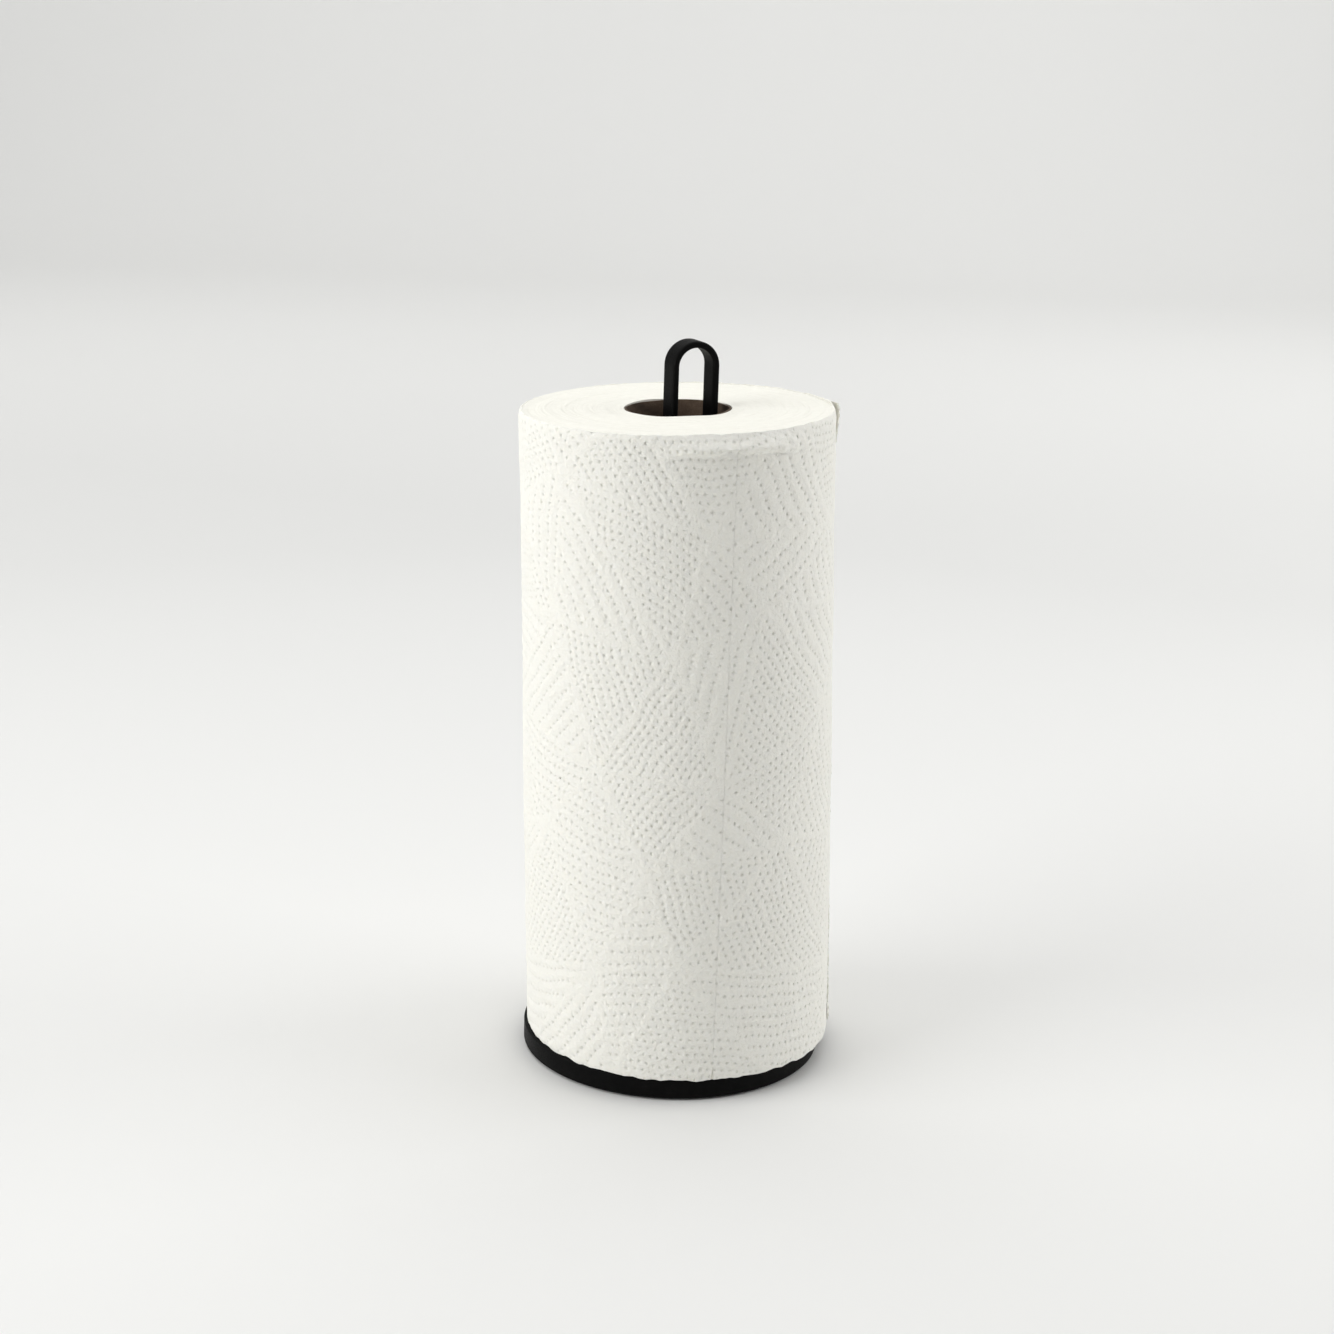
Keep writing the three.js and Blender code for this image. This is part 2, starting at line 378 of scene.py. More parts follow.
def build_edge_wear(tree: bpy.types.NodeTree) -> None:
    """Rubbed edges: Mask is the carried edge value, broken up by a noise."""
    wiring, given, result = open_group(tree, ("Mask",), Amount=0.5)
    patchy = wiring.spread(wiring.noise(wiring.object_place(), 220.0, 4.0, 0.65), 0.42, 0.7, 0.15, 1.0)
    edge = wiring.math("MULTIPLY", wiring.carried("edge").outputs["Fac"], patchy)
    wiring.feed(result.inputs["Mask"], wiring.math("MULTIPLY", edge, given.outputs["Amount"], clamp=True))


def build_dust(tree: bpy.types.NodeTree) -> None:
    """Dust on what faces up: Mask is the normal's upward part times a speckled noise."""
    wiring, given, result = open_group(tree, ("Mask",), Amount=0.3)
    parts = wiring.node("SeparateXYZ")
    wiring.feed(parts.inputs[0], wiring.node("NewGeometry").outputs["Normal"])
    upward = wiring.spread(parts.outputs["Z"], 0.3, 1.0, 0.0, 1.0)
    place = wiring.object_place()
    specks = wiring.spread(wiring.noise(place, 1400.0, 2.0, 0.6), 0.56, 0.72, 0.0, 1.0)
    haze = wiring.spread(wiring.noise(place, 30.0, 4.0, 0.6), 0.3, 0.75, 0.1, 0.6)
    lying = wiring.math("MULTIPLY", upward, wiring.math("ADD", specks, haze))
    wiring.feed(result.inputs["Mask"], wiring.math("MULTIPLY", lying, given.outputs["Amount"], clamp=True))


def build_fibres(tree: bpy.types.NodeTree) -> None:
    """Matted fibres: two noises, one drawn out sideways and one upright; Height and Shade are 0 to 1."""
    wiring, _, result = open_group(tree, ("Height", "Shade"))
    place = wiring.object_place()
    strands = []
    for stretch in ((900.0, 900.0, 3200.0), (2600.0, 2600.0, 800.0)):
        drawn = wiring.vector_math("MULTIPLY", place, stretch)
        strands.append(wiring.noise(drawn, 1.0, 3.0, 0.6))
    matted = wiring.math("MAXIMUM", *strands)
    wiring.feed(result.inputs["Height"], matted)
    cloudy = wiring.noise(place, 320.0, 3.0, 0.55)
    half_cloudy = wiring.math("MULTIPLY", cloudy, 0.5)
    wiring.feed(result.inputs["Shade"], wiring.math("MULTIPLY_ADD", matted, 0.5, half_cloudy))


BUILDERS = {
    SharedEffect.GRAIN: build_grain,
    SharedEffect.EDGE_WEAR: build_edge_wear,
    SharedEffect.DUST: build_dust,
    SharedEffect.FIBRES: build_fibres,
}


# --------------------------------------------------------------------------------------
# Finishes
# --------------------------------------------------------------------------------------

Colour = tuple[float, float, float, float]


@dataclass(frozen=True)
class Finish:
    """What every finish shares: a name, and a material made from it once."""

    name: str

    def material(self) -> bpy.types.Material:
        """The finish's material, built on first use."""
        made = bpy.data.materials.get(self.name)
        if made is None:
            made = bpy.data.materials.new(self.name)
            made.use_nodes = True
            wiring = Wiring(made.node_tree)
            self.wire(wiring, made.node_tree.nodes["Principled BSDF"])
        return made

    def wire(self, wiring: Wiring, shader: bpy.types.Node) -> None:
        """Wires the finish into a Principled shader."""
        raise NotImplementedError

    @staticmethod
    def effect(wiring: Wiring, effect: SharedEffect, **values: float) -> bpy.types.Node:
        """Places a shared effect in the material.

        Args:
            wiring: the material's wiring.
            effect: which effect.
            values: its inputs by name, with _ for a space.

        Returns:
            The group node.
        """
        made = wiring.node("Group")
        made.node_tree = effect.group()
        wiring.give(made, **values)
        return made


@dataclass(frozen=True)
class PowderCoat(Finish):
    """Matte black powder coat: fine orange peel, edges painted a little paler as rubbed wear and as a painted
    highlight along the corners, a trace of dust.
    """

    name: str = "black_powder_coat"
    base: Colour = (0.0026, 0.0026, 0.0026, 1.0)
    rubbed: Colour = (0.018, 0.0175, 0.017, 1.0)
    dust: Colour = (0.08, 0.077, 0.072, 1.0)
    peel_depth: float = 0.05 * MM

    def wire(self, wiring: Wiring, shader: bpy.types.Node) -> None:
        """Wires peel, wear with its painted edge highlight, and dust into the shader."""
        grain = self.effect(wiring, SharedEffect.GRAIN, Fine_Scale=1500.0, Broad_Scale=45.0)
        wear = self.effect(wiring, SharedEffect.EDGE_WEAR, Amount=0.5)
        dust = self.effect(wiring, SharedEffect.DUST, Amount=0.05)
        lifted = tuple(1.45 * c for c in self.base[:3]) + (1.0,)
        coat = wiring.mix(grain.outputs["Tint"], self.base, lifted)
        # the paler edge colour is partly rubbed wear and partly a painted highlight along the bar's corners
        worn_and_highlit = wiring.mix(wear.outputs["Mask"], coat, self.rubbed)
        wiring.give(
            shader,
            Base_Color=wiring.mix(dust.outputs["Mask"], worn_and_highlit, self.dust),
            Roughness=wiring.spread(grain.outputs["Height"], 0.3, 0.7, 0.44, 0.58),
            Normal=wiring.bump(grain.outputs["Height"], self.peel_depth),
            Specular_IOR_Level=0.05,
        )


@dataclass(frozen=True)
class ZincSteel(Finish):
    """Zinc-plated steel: turned marks, cloudy plating, brighter rubbed edges."""

    name: str = "zinc_plated_steel"
    base: Colour = (0.42, 0.43, 0.45, 1.0)
    cloudy: Colour = (0.55, 0.55, 0.54, 1.0)
    rubbed: Colour = (0.72, 0.72, 0.72, 1.0)
    mark_depth: float = 0.008 * MM

    def wire(self, wiring: Wiring, shader: bpy.types.Node) -> None:
        """Wires the plating's clouds and fine marks into the shader."""
        grain = self.effect(wiring, SharedEffect.GRAIN, Fine_Scale=4200.0, Broad_Scale=420.0)
        wear = self.effect(wiring, SharedEffect.EDGE_WEAR, Amount=0.7)
        plating = wiring.mix(grain.outputs["Tint"], self.base, self.cloudy)
        wiring.give(
            shader,
            Base_Color=wiring.mix(wear.outputs["Mask"], plating, self.rubbed),
            Roughness=wiring.spread(grain.outputs["Tint"], 0.3, 0.7, 0.24, 0.42),
            Normal=wiring.bump(grain.outputs["Height"], self.mark_depth),
            Metallic=1.0,
        )


@dataclass(frozen=True)
class PadRubber(Finish):
    """Dark soft rubber with a fine pebbled skin and grey scuffs."""

    name: str = "pebbled_rubber"
    base: Colour = (0.012, 0.012, 0.0125, 1.0)
    scuffed: Colour = (0.05, 0.049, 0.047, 1.0)
    pebble_depth: float = 0.12 * MM

    def wire(self, wiring: Wiring, shader: bpy.types.Node) -> None:
        """Wires pebbles and scuffs into the shader."""
        grain = self.effect(wiring, SharedEffect.GRAIN, Fine_Scale=1900.0, Broad_Scale=75.0)
        scuff = wiring.spread(grain.outputs["Tint"], 0.5, 0.78, 0.0, 0.8)
        wiring.give(
            shader,
            Base_Color=wiring.mix(scuff, self.base, self.scuffed),
            Roughness=wiring.spread(grain.outputs["Height"], 0.3, 0.7, 0.72, 0.9),
            Normal=wiring.bump(grain.outputs["Height"], self.pebble_depth),
        )


@dataclass(frozen=True)
class CoreBoard(Finish):
    """Brown spiral-wound board, its colours darkened as painted shade for the shadowed bore: matted fibres,
    darker seams where the plies meet.
    """

    name: str = "spiral_wound_board"
    # base and fleck are darker than the board's own brown: painted shade for the dim inside of the bore
    base: Colour = (0.080, 0.051, 0.031, 1.0)
    fleck: Colour = (0.135, 0.092, 0.060, 1.0)
    seam: Colour = (0.038, 0.023, 0.014, 1.0)
    fibre_depth: float = 0.06 * MM

    def wire(self, wiring: Wiring, shader: bpy.types.Node) -> None:
        """Wires fibres and the carried seam value into the shader."""
        fibres = self.effect(wiring, SharedEffect.FIBRES)
        flecks = wiring.spread(fibres.outputs["Shade"], 0.4, 0.7, 0.0, 1.0)
        flecked = wiring.mix(flecks, self.base, self.fleck)
        wiring.give(
            shader,
            Base_Color=wiring.mix(wiring.carried("seam").outputs["Fac"], flecked, self.seam),
            Roughness=wiring.spread(fibres.outputs["Height"], 0.3, 0.8, 0.95, 0.8),
            Normal=wiring.bump(fibres.outputs["Height"], self.fibre_depth),
        )


@dataclass(frozen=True)
class WoundEdges(Finish):
    """The roll's end faces: hundreds of paper edges side by side, with faint painted shade in the grooves
    between the turns.
    """

    name: str = "wound_paper_edges"
    base: Colour = (0.885, 0.875, 0.805, 1.0)
    # gap is painted shade for the grooves between the turns, and also the darker fibre tone
    gap: Colour = (0.66, 0.635, 0.56, 1.0)
    fibre_depth: float = 0.10 * MM

    def wire(self, wiring: Wiring, shader: bpy.types.Node) -> None:
        """Wires the carried gap value and fibres into the shader."""
        fibres = self.effect(wiring, SharedEffect.FIBRES)
        # painted shade in the fine grooves between turns
        gaps = wiring.math("MULTIPLY", wiring.carried("gap").outputs["Fac"], 0.22)
        edges = wiring.mix(gaps, self.base, self.gap)
        shade = wiring.spread(fibres.outputs["Shade"], 0.35, 0.7, 0.0, 0.16)
        wiring.give(
            shader,
            Base_Color=wiring.mix(shade, edges, self.gap),
            Roughness=wiring.spread(fibres.outputs["Height"], 0.3, 0.8, 0.98, 0.88),
            Normal=wiring.bump(fibres.outputs["Height"], self.fibre_depth),
            Specular_IOR_Level=0.25,
        )


@dataclass(frozen=True)
class EmbossedPaper(Finish):
    """Soft white two-ply paper: pressed dots with painted shade in their pits, matted fibres, a little fuzz.
    """

    name: str = "embossed_paper"
    base: Colour = (0.915, 0.903, 0.835, 1.0)
    fibre_tone_and_pit_shade: Colour = (0.76, 0.745, 0.655, 1.0)
    dot_gap: float = 3.1
    dot_radius: float = 0.78
    dot_depth: float = 0.24 * MM
    crumple_depth: float = 0.8 * MM
    fibre_depth: float = 0.07 * MM

    def wire(self, wiring: Wiring, shader: bpy.types.Node) -> None:
        """Wires dots and fibres into the shader."""
        dots = self.dots(wiring)
        fibres = self.effect(wiring, SharedEffect.FIBRES)
        shade = wiring.spread(fibres.outputs["Shade"], 0.35, 0.7, 0.0, 0.10)
        paper = wiring.mix(shade, self.base, self.fibre_tone_and_pit_shade)
        crumple = wiring.noise(wiring.object_place(), 480.0, 4.0, 0.6)
        creased = wiring.bump(crumple, self.crumple_depth)
        sunk = wiring.bump(wiring.math("MULTIPLY", dots, -1.0), self.dot_depth, creased)
        wiring.give(
            shader,
            # the dots are mixed towards the darker tone: partly the pressed tissue's own tone, partly painted
            # shade in the pits
            Base_Color=wiring.mix(wiring.math("MULTIPLY", dots, 0.45), paper, self.fibre_tone_and_pit_shade),
            Roughness=wiring.spread(fibres.outputs["Height"], 0.3, 0.8, 0.97, 0.85),
            Normal=wiring.bump(fibres.outputs["Height"], self.fibre_depth, sunk),
            Specular_IOR_Level=0.2,
            Subsurface_Weight=0.3,
            Subsurface_Radius=(1.0, 0.95, 0.85),
            Subsurface_Scale=1.0 * MM,
        )

    def dots(self, wiring: Wiring) -> bpy.types.NodeSocket:
        """How far a point is pressed in, 0 to 1.

        The mesh carries each point's place in its own fan of rows, in millimetres: x along the
        row, y across the rows and z the share of the pattern there, and row_gap, the rows'
        distance. The nearest dot is the one at the rounded row and, staggered by half a gap on
        every other row, the rounded place along it. The press is 1 less the squared distance
        over the squared dot radius, squared.
        """
        parts = wiring.node("SeparateXYZ")
        wiring.feed(parts.inputs[0], wiring.carried("fan_place").outputs["Vector"])
        gap = wiring.carried("row_gap").outputs["Fac"]
        rows = wiring.math("DIVIDE", parts.outputs["Y"], gap)
        row = wiring.math("ROUND", rows)
        across = wiring.math("MULTIPLY", wiring.math("SUBTRACT", rows, row), gap)
        stagger = wiring.math("MULTIPLY", wiring.math("PINGPONG", row, 1.0), 0.5)
        steps = wiring.math("ADD", wiring.math("DIVIDE", parts.outputs["X"], self.dot_gap), stagger)
        past_dot = wiring.math("SUBTRACT", steps, wiring.math("ROUND", steps))
        along = wiring.math("MULTIPLY", past_dot, self.dot_gap)
        squared = wiring.math("ADD", wiring.math("POWER", across, 2.0), wiring.math("POWER", along, 2.0))
        press = wiring.math("SUBTRACT", 1.0, wiring.math("DIVIDE", squared, self.dot_radius**2), clamp=True)
        return wiring.math("MULTIPLY", wiring.math("POWER", press, 2.0), parts.outputs["Z"])


@dataclass(frozen=True)
class PaleStage(Finish):
    """The matte pale surface that the holder stands on."""

    name: str = "pale_stage"
    base: Colour = (0.80, 0.80, 0.785, 1.0)
    darker: Colour = (0.785, 0.785, 0.77, 1.0)

    def wire(self, wiring: Wiring, shader: bpy.types.Node) -> None:
        """Wires a faint cloudiness into the shader."""
        grain = self.effect(wiring, SharedEffect.GRAIN, Fine_Scale=900.0, Broad_Scale=1.5)
        clouded = wiring.mix(grain.outputs["Tint"], self.base, self.darker)
        wiring.give(shader, Base_Color=clouded, Roughness=0.9, Specular_IOR_Level=0.2)


# --------------------------------------------------------------------------------------
# Pieces
# --------------------------------------------------------------------------------------


@dataclass(frozen=True)
class PieceFacts:
    """Where a piece belongs.

    Args:
        name: the piece's name.
        body: the CAD body that it rides on.
        slot: the record's material slot; not used.
        replaces: the CAD nodes that it stands for.
    """

    name: str
    body: str
    slot: str
    replaces: tuple[str, ...] = ()


def new_object(name: str, data: bpy.types.ID) -> bpy.types.Object:
    """Puts an object with the given data into the scene."""
    made = bpy.data.objects.new(name, data)
    bpy.context.scene.collection.objects.link(made)
    return made


def add_piece(facts: PieceFacts, mesh: bpy.types.Mesh, finish: Finish) -> bpy.types.Object:
    """Puts a mesh into the scene as a piece of the object.

    Args:
        facts: where the piece belongs.
        mesh: its mesh, already in place.
        finish: its finish.

    Returns:
        The piece.
    """
    piece = new_object(facts.name, mesh)
    mesh.materials.append(finish.material())
    if facts.replaces:
        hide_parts(*facts.replaces)
    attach(piece, facts.body)
    log.info("%s: %d faces on body %s", facts.name, len(mesh.polygons), facts.body)
    return piece


def pierced_half(
    outer: float, hole: float, offset: float, height: float, side: int, steps: int
) -> np.ndarray:
    """Half a flat disc with one round hole in it.

    The half's edge runs along the half-circle and back along the diameter. Point (i, j) lies
    between hole point j, which faces edge point j from the hole's centre, and edge point j, at
    share i. The two halves share their diameter's points.

    Args:
        outer: the disc's radius.
        hole: the hole's radius.
        offset: the hole's distance from the disc's centre, along Y.
        height: the disc's height.
        side: 1 for the half at +Y, -1 for the one at -Y.
        steps: points along the half-circle, and half as many along the diameter.

    Returns:
        Points of (2, columns, 3); row 0 is the hole's edge, and the last column is the first.
    """
    round_edge = arc((0.0, 0.0), outer, 0.0, 180.0, steps + 1)
    straight = np.stack([np.linspace(-outer, outer, steps // 2 + 1)[1:], np.zeros(steps // 2)], axis=-1)
    edge = np.concatenate([round_edge, straight]) * np.array([1.0, side])
    centre = np.array([0.0, side * offset])
    facing = (edge - centre) / np.linalg.norm(edge - centre, axis=1, keepdims=True)
    flat = np.stack([centre + hole * facing, edge])
    return np.concatenate([flat, np.full((*flat.shape[:2], 1), height)], axis=-1)


def carry(patch: Patch, **values: np.ndarray | float) -> Patch:
    """Gives a patch named values, each spread over its grid."""
    shape = patch.points.shape[:2]
    for key, value in values.items():
        patch.carried[key] = np.broadcast_to(np.asarray(value, float), shape).copy()
    return patch


def rim_of(grid: np.ndarray) -> np.ndarray:
    """The points round a grid's outside, once each, starting along its first row."""
    return np.concatenate([grid[0, :-1], grid[:-1, -1], grid[-1, :0:-1], grid[:0:-1, 0]])


def close_shell(front: Patch, back: Patch) -> list[Patch]:
    """Joins a fine front to a coarser back, to make a closed thin shell.

    The back's grid has every n-th line of the front's. Rim point i of the front is joined to
    rim point i / n of the back, rounded, and points that come out equal are merged later.

    Args:
        front: the fine grid.
        back: the coarse grid, with the same carried names.

    Returns:
        The front, the back and the strip between them.
    """
    fine, coarse = rim_of(front.points), rim_of(back.points)
    ratio = len(fine) // len(coarse)
    meets = ((np.arange(len(fine)) + ratio // 2) // ratio) % len(coarse)
    carried = {
        key: np.stack([rim_of(front.carried[key]), rim_of(back.carried[key])[meets]]) for key in front.carried
    }
    return [front, back, Patch(np.stack([fine, coarse[meets]]), wrap_columns=True, carried=carried)]


Stop = tuple[float, float, float]


@dataclass
class Holder:
    """The weighted base, its pad, the bent bar, the foot plate and the screws.

    The outer sizes come from the CAD nodes' boxes, and the fields hold the details' sizes.
    """

    powder: PowderCoat = field(default_factory=PowderCoat)
    zinc: ZincSteel = field(default_factory=ZincSteel)
    rubber: PadRubber = field(default_factory=PadRubber)
    base_edge: float = 0.6 * MM
    pad_recess: float = 1.0 * MM
    pad_edge: float = 0.4 * MM
    pad_side_gap: float = 0.3 * MM
    pad_groove_depth: float = 0.35 * MM
    screw_offset: float = 9.0 * MM
    screw_clearance: float = 0.15 * MM
    access_radius: float = 5.5 * MM
    shank_radius: float = 2.5 * MM
    head_rim: float = 0.5 * MM
    head_softness: float = 0.15 * MM
    thread_depth: float = 0.35 * MM
    thread_pitch: float = 0.8 * MM
    thread_step: float = 0.1 * MM
    thread_end: float = 0.35 * MM
    tip_chamfer: float = 0.3 * MM
    pad_flat: float = 22.0 * MM
    bar_thick: float = 2.6 * MM
    bar_corner: float = 0.8 * MM
    leg_steps: int = 60
    bend_steps: int = 73
    plate_edge: float = 0.5 * MM
    plate_chamfer: float = 0.1 * MM
    weld_size: float = 1.3 * MM
    weld_ripple: float = 0.08
    weld_ripple_pitch: float = 1.4 * MM
    weld_bite: float = 0.05 * MM
    weld_lift: float = 0.02 * MM
    socket_flat: float = 1.5 * MM
    socket_depth: float = 1.7 * MM
    socket_cone: float = 0.4 * MM
    socket_taper: float = 0.96
    socket_lead: tuple[float, float] = (0.08 * MM, 0.1 * MM)
    screw_columns: int = 72
    round_steps: int = 192

    def build(self) -> None:
        """Builds every piece of the holder."""
        self.base()
        self.pad()
        self.loop()
        self.plate()
        self.welds()
        for number, side in ((1, -1), (2, 1)):
            self.screw(number, side)

    def turned(
        self, rim: np.ndarray, on_edge: object, faces: tuple[Stop, ...], *walls: tuple[Stop, ...]
    ) -> list[Patch]:
        """A turned piece with two screw holes: its rim, its faces and the holes' walls.

        The rim's points meet the pierced faces' point for point.

        Args:
            rim: (rows, 2) of radius and height.
            on_edge: how much of an edge each row lies on, or one value for all.
            faces: each face's outer radius, hole radius and height.
            walls: each wall's stops, from one end to the other.

        Returns:
            The patches.
        """
        surface = Patch(revolve(rim, circle(self.round_steps)), wrap_columns=True)
        patches = [carry(surface, edge=on_edge)]
        for face in faces:
            patches += self.pierced_faces(*face)
        for stops in walls:
            patches += self.hole_walls(stops)
        return patches

    def pierced_faces(self, outer: float, hole: float, height: float) -> list[Patch]:
        """A flat disc with the two screw holes, as two halves."""
        steps = self.round_steps // 2
        halves = [pierced_half(outer, hole, self.screw_offset, height, side, steps) for side in (1, -1)]
        return [carry(Patch(points), edge=0.0) for points in halves]

    def hole_walls(self, stops: tuple[Stop, ...]) -> list[Patch]:
        """The walls of the two screw holes, following the pierced halves' hole edges.

        Args:
            stops: along the wall, the radius of the disc whose halves it meets, the hole's
                radius and the height.

        Returns:
            One patch for each hole.
        """
        steps = self.round_steps // 2
        walls = []
        for side in (1, -1):
            rings = [
                pierced_half(outer, radius, self.screw_offset, height, side, steps)[0]
                for outer, radius, height in stops
            ]
            walls.append(carry(Patch(np.stack(rings)), edge=0.0))
        return walls

    def base(self) -> None:
        """The disc: a turned rim with soft edges, faces pierced for the screws, a pad recess."""
        low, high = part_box("base_disc")
        radius, bottom, top, edge = high.x, low.z, high.z, self.base_edge
        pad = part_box("anti_slip_pad")[1].x + self.pad_side_gap
        ceiling = bottom + self.pad_recess
        rim = np.concatenate([
            [[pad, ceiling], [pad, bottom]],
            arc((radius - edge, bottom + edge), edge, -90, 0, 7),
            arc((radius - edge, top - edge), edge, 0, 90, 9),
        ])
        on_edge = np.zeros(len(rim))
        on_edge[2:] = np.sin(np.linspace(0.0, math.pi, len(rim) - 2) * 2.0) ** 2
        flat = radius - edge
        screw_low, screw_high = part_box("base_screw_1")
        head = (screw_high.x - screw_low.x) / 2 + self.screw_clearance
        shank = self.shank_radius + self.screw_clearance
        rim_top = screw_low.z + self.head_rim
        cone_top = rim_top + head - shank
        upper, recess = (flat, shank, top), (pad, head, ceiling)
        wide, narrow = (pad, head, rim_top), (flat, shank, cone_top)
        walls = (narrow, upper), (recess, wide), (wide, narrow)
        patches = self.turned(rim, on_edge[:, None], (upper, recess), *walls)
        mesh = new_mesh("base_disc_body", patches, 35.0)
        add_piece(PieceFacts("weighted_base", "holder", "powder_coat", ("base_disc",)), mesh, self.powder)

    def pad(self) -> None:
        """The pad: soft outer edge, two access holes, and shallow ring grooves that grip."""
        low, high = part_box("anti_slip_pad")
        radius, bottom, top, edge = high.x, low.z, high.z, self.pad_edge
        flat = self.pad_flat
        grooves = np.linspace(flat, radius - edge, 129)
        wave = 0.5 - 0.5 * np.cos(TURN * (grooves - flat) / (grooves[-1] - flat) * 8.0)
        sole = np.stack([grooves, bottom + self.pad_groove_depth * smooth_step(0.55, 0.95, wave)], axis=-1)
        rim = np.concatenate([
            sole,
            arc((radius - edge, bottom + edge), edge, -90, 0, 6)[1:],
            arc((radius - edge, top - edge), edge, 0, 90, 6),
        ])
        access = self.access_radius
        faces = (flat, access, bottom), (radius - edge, access, top)
        patches = self.turned(rim, 0.0, faces, faces)
        mesh = new_mesh("anti_slip_pad_body", patches, 40.0)
        add_piece(PieceFacts("grip_pad", "holder", "pad_rubber", ("anti_slip_pad",)), mesh, self.rubber)

    def loop(self) -> None:
        """The bar: a rounded flat section carried up one leg, round the bend and down the other.

        The path is a leg, a half circle and a leg in the XZ plane. Section point (a, b) lies at
        the path's point plus a times its outward normal plus b along Y.
        """
        low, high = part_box("post_loop")
        thick = self.bar_thick
        bend_radius = (high.x - low.x - thick) / 2
        bend_height = high.z - thick / 2 - bend_radius
        legs = np.linspace(0.0, 1.0, self.leg_steps)
        up = low.z + (bend_height - low.z) * legs
        turn = np.radians(np.linspace(180.0, 0.0, self.bend_steps))
        bend = np.stack([np.cos(turn[1:-1]), np.sin(turn[1:-1])], axis=-1)
        left = np.full(self.leg_steps, -bend_radius)
        x = np.concatenate([left, bend_radius * bend[:, 0], -left])
        z = np.concatenate([up, bend_height + bend_radius * bend[:, 1], up[::-1]])
        outward = np.tile([-1.0, 0.0], (self.leg_steps, 1))
        normal = np.concatenate([outward, bend, -outward])
        section, corner = self.bar_section(thick / 2, (high.y - low.y) / 2)
        out = section[None, :, :1] * normal[:, None, :]
        points = np.stack([
            x[:, None] + out[..., 0],
            np.broadcast_to(section[:, 1], out.shape[:2]),
            z[:, None] + out[..., 1],
        ], axis=-1)
        caps = [self.section_cap(points[end]) for end in (0, -1)]
        patches = [carry(Patch(points, wrap_columns=True), edge=corner[None, :])]
        patches += [carry(Patch(cap), edge=0.0) for cap in caps]
        mesh = new_mesh("bent_bar_body", patches, 35.0)
        add_piece(PieceFacts("bent_bar_loop", "holder", "powder_coat", ("post_loop",)), mesh, self.powder)

    def bar_section(self, half_thick: float, half_wide: float) -> tuple[np.ndarray, np.ndarray]:
        """A rectangle with round corners, and how much of an edge each point lies on.

        Args:
            half_thick: half the bar's thickness.
            half_wide: half its width.

        Returns:
            Section points of (n, 2), counter-clockwise, and values from 0 to 1.
        """
        r = self.bar_corner
        a, b = half_thick - r, half_wide - r
        quarter = 7
        corners = [
            arc((sa * a, sb * b), r, start, start + 90.0, quarter)
            for sa, sb, start in ((1, 1, 0.0), (-1, 1, 90.0), (-1, -1, 180.0), (1, -1, 270.0))
        ]
        across = np.linspace(0.0, 1.0, 7)[1:-1]
        flats = [
            first[-1] + across[:, None] * (second[0] - first[-1])
            for first, second in zip(corners, corners[1:] + corners[:1])
        ]
        on_corner = np.sin(np.linspace(0.0, math.pi, quarter))
        section = np.concatenate([part for pair in zip(corners, flats) for part in pair])
        edge = np.concatenate([np.concatenate([on_corner, np.zeros(len(across))]) for _ in corners])
        return section, edge

    @staticmethod
    def section_cap(ring: np.ndarray) -> np.ndarray:
        """A flat cap: each ring point joined to the ring's middle."""
        middle = np.broadcast_to(ring.mean(axis=0), ring.shape)
        closed = np.stack([ring, middle])
        return np.concatenate([closed, closed[:, :1]], axis=1)

    def plate(self) -> None:
        """The foot plate: a soft-edged round plate pierced for the screws."""
        low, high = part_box("foot_plate")
        radius, edge = high.x, self.plate_edge
        upper, lower = radius - edge, radius - self.plate_chamfer
        rim = np.concatenate([
            [[lower, low.z], [radius, low.z + self.plate_chamfer]],
            arc((upper, high.z - edge), edge, 0, 90, 7),
        ])
        on_edge = np.array([0.0, 0.0, *np.sin(np.linspace(0.0, math.pi, 7))])
        hole = self.shank_radius + self.screw_clearance
        faces = (upper, hole, high.z), (lower, hole, low.z)
        patches = self.turned(rim, on_edge[:, None], faces, faces[::-1])
        mesh = new_mesh("foot_plate_body", patches, 35.0)
        facts = PieceFacts("welded_foot_plate", "holder", "powder_coat", ("foot_plate",))
        add_piece(facts, mesh, self.powder)

    def welds(self) -> None:
        """A weld bead round each leg's end: a rippled quarter-round fillet.

        Round the bar's section, the fillet's point at angle t is the section's point moved out
        by the bead's size times 1 - sin t and up by its size times 1 - cos t, and the size
        ripples along the bead.
        """
        low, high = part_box("post_loop")
        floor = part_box("foot_plate")[1].z + self.weld_lift
        thick = self.bar_thick
        section, _ = self.bar_section(thick / 2, (high.y - low.y) / 2)
        ahead, behind = np.roll(section, -1, axis=0), np.roll(section, 1, axis=0)
        along = ahead - behind
        outward = np.stack([along[:, 1], -along[:, 0]], axis=-1)
        outward /= np.linalg.norm(outward, axis=1, keepdims=True)
        travel = np.cumsum(np.linalg.norm(section - behind, axis=1))
        wave = np.sin(TURN * travel / self.weld_ripple_pitch)
        size = self.weld_size * (1.0 + self.weld_ripple * wave)
        t = np.linspace(0.0, math.pi / 2, 9)[:, None]
        reach = size[None, :] * (1.0 - np.sin(t))
        rise = size[None, :] * (1.0 - np.cos(t))
        flat = section[None] + (reach[..., None] - self.weld_bite) * outward[None]
        for number, centre in ((1, low.x + thick / 2), (2, high.x - thick / 2)):
            bead = np.stack([centre + flat[..., 0], flat[..., 1], floor + rise], axis=-1)
            inner = bead[-1].copy()
            inner[:, 2] = floor
            closed = np.concatenate([bead, inner[None]])
            patch = carry(Patch(closed, wrap_rows=True, wrap_columns=True), edge=0.0)
            mesh = new_mesh(f"weld_bead_body_{number}", [patch], 50.0)
            add_piece(PieceFacts(f"weld_bead_{number}", "holder", "powder_coat"), mesh, self.powder)

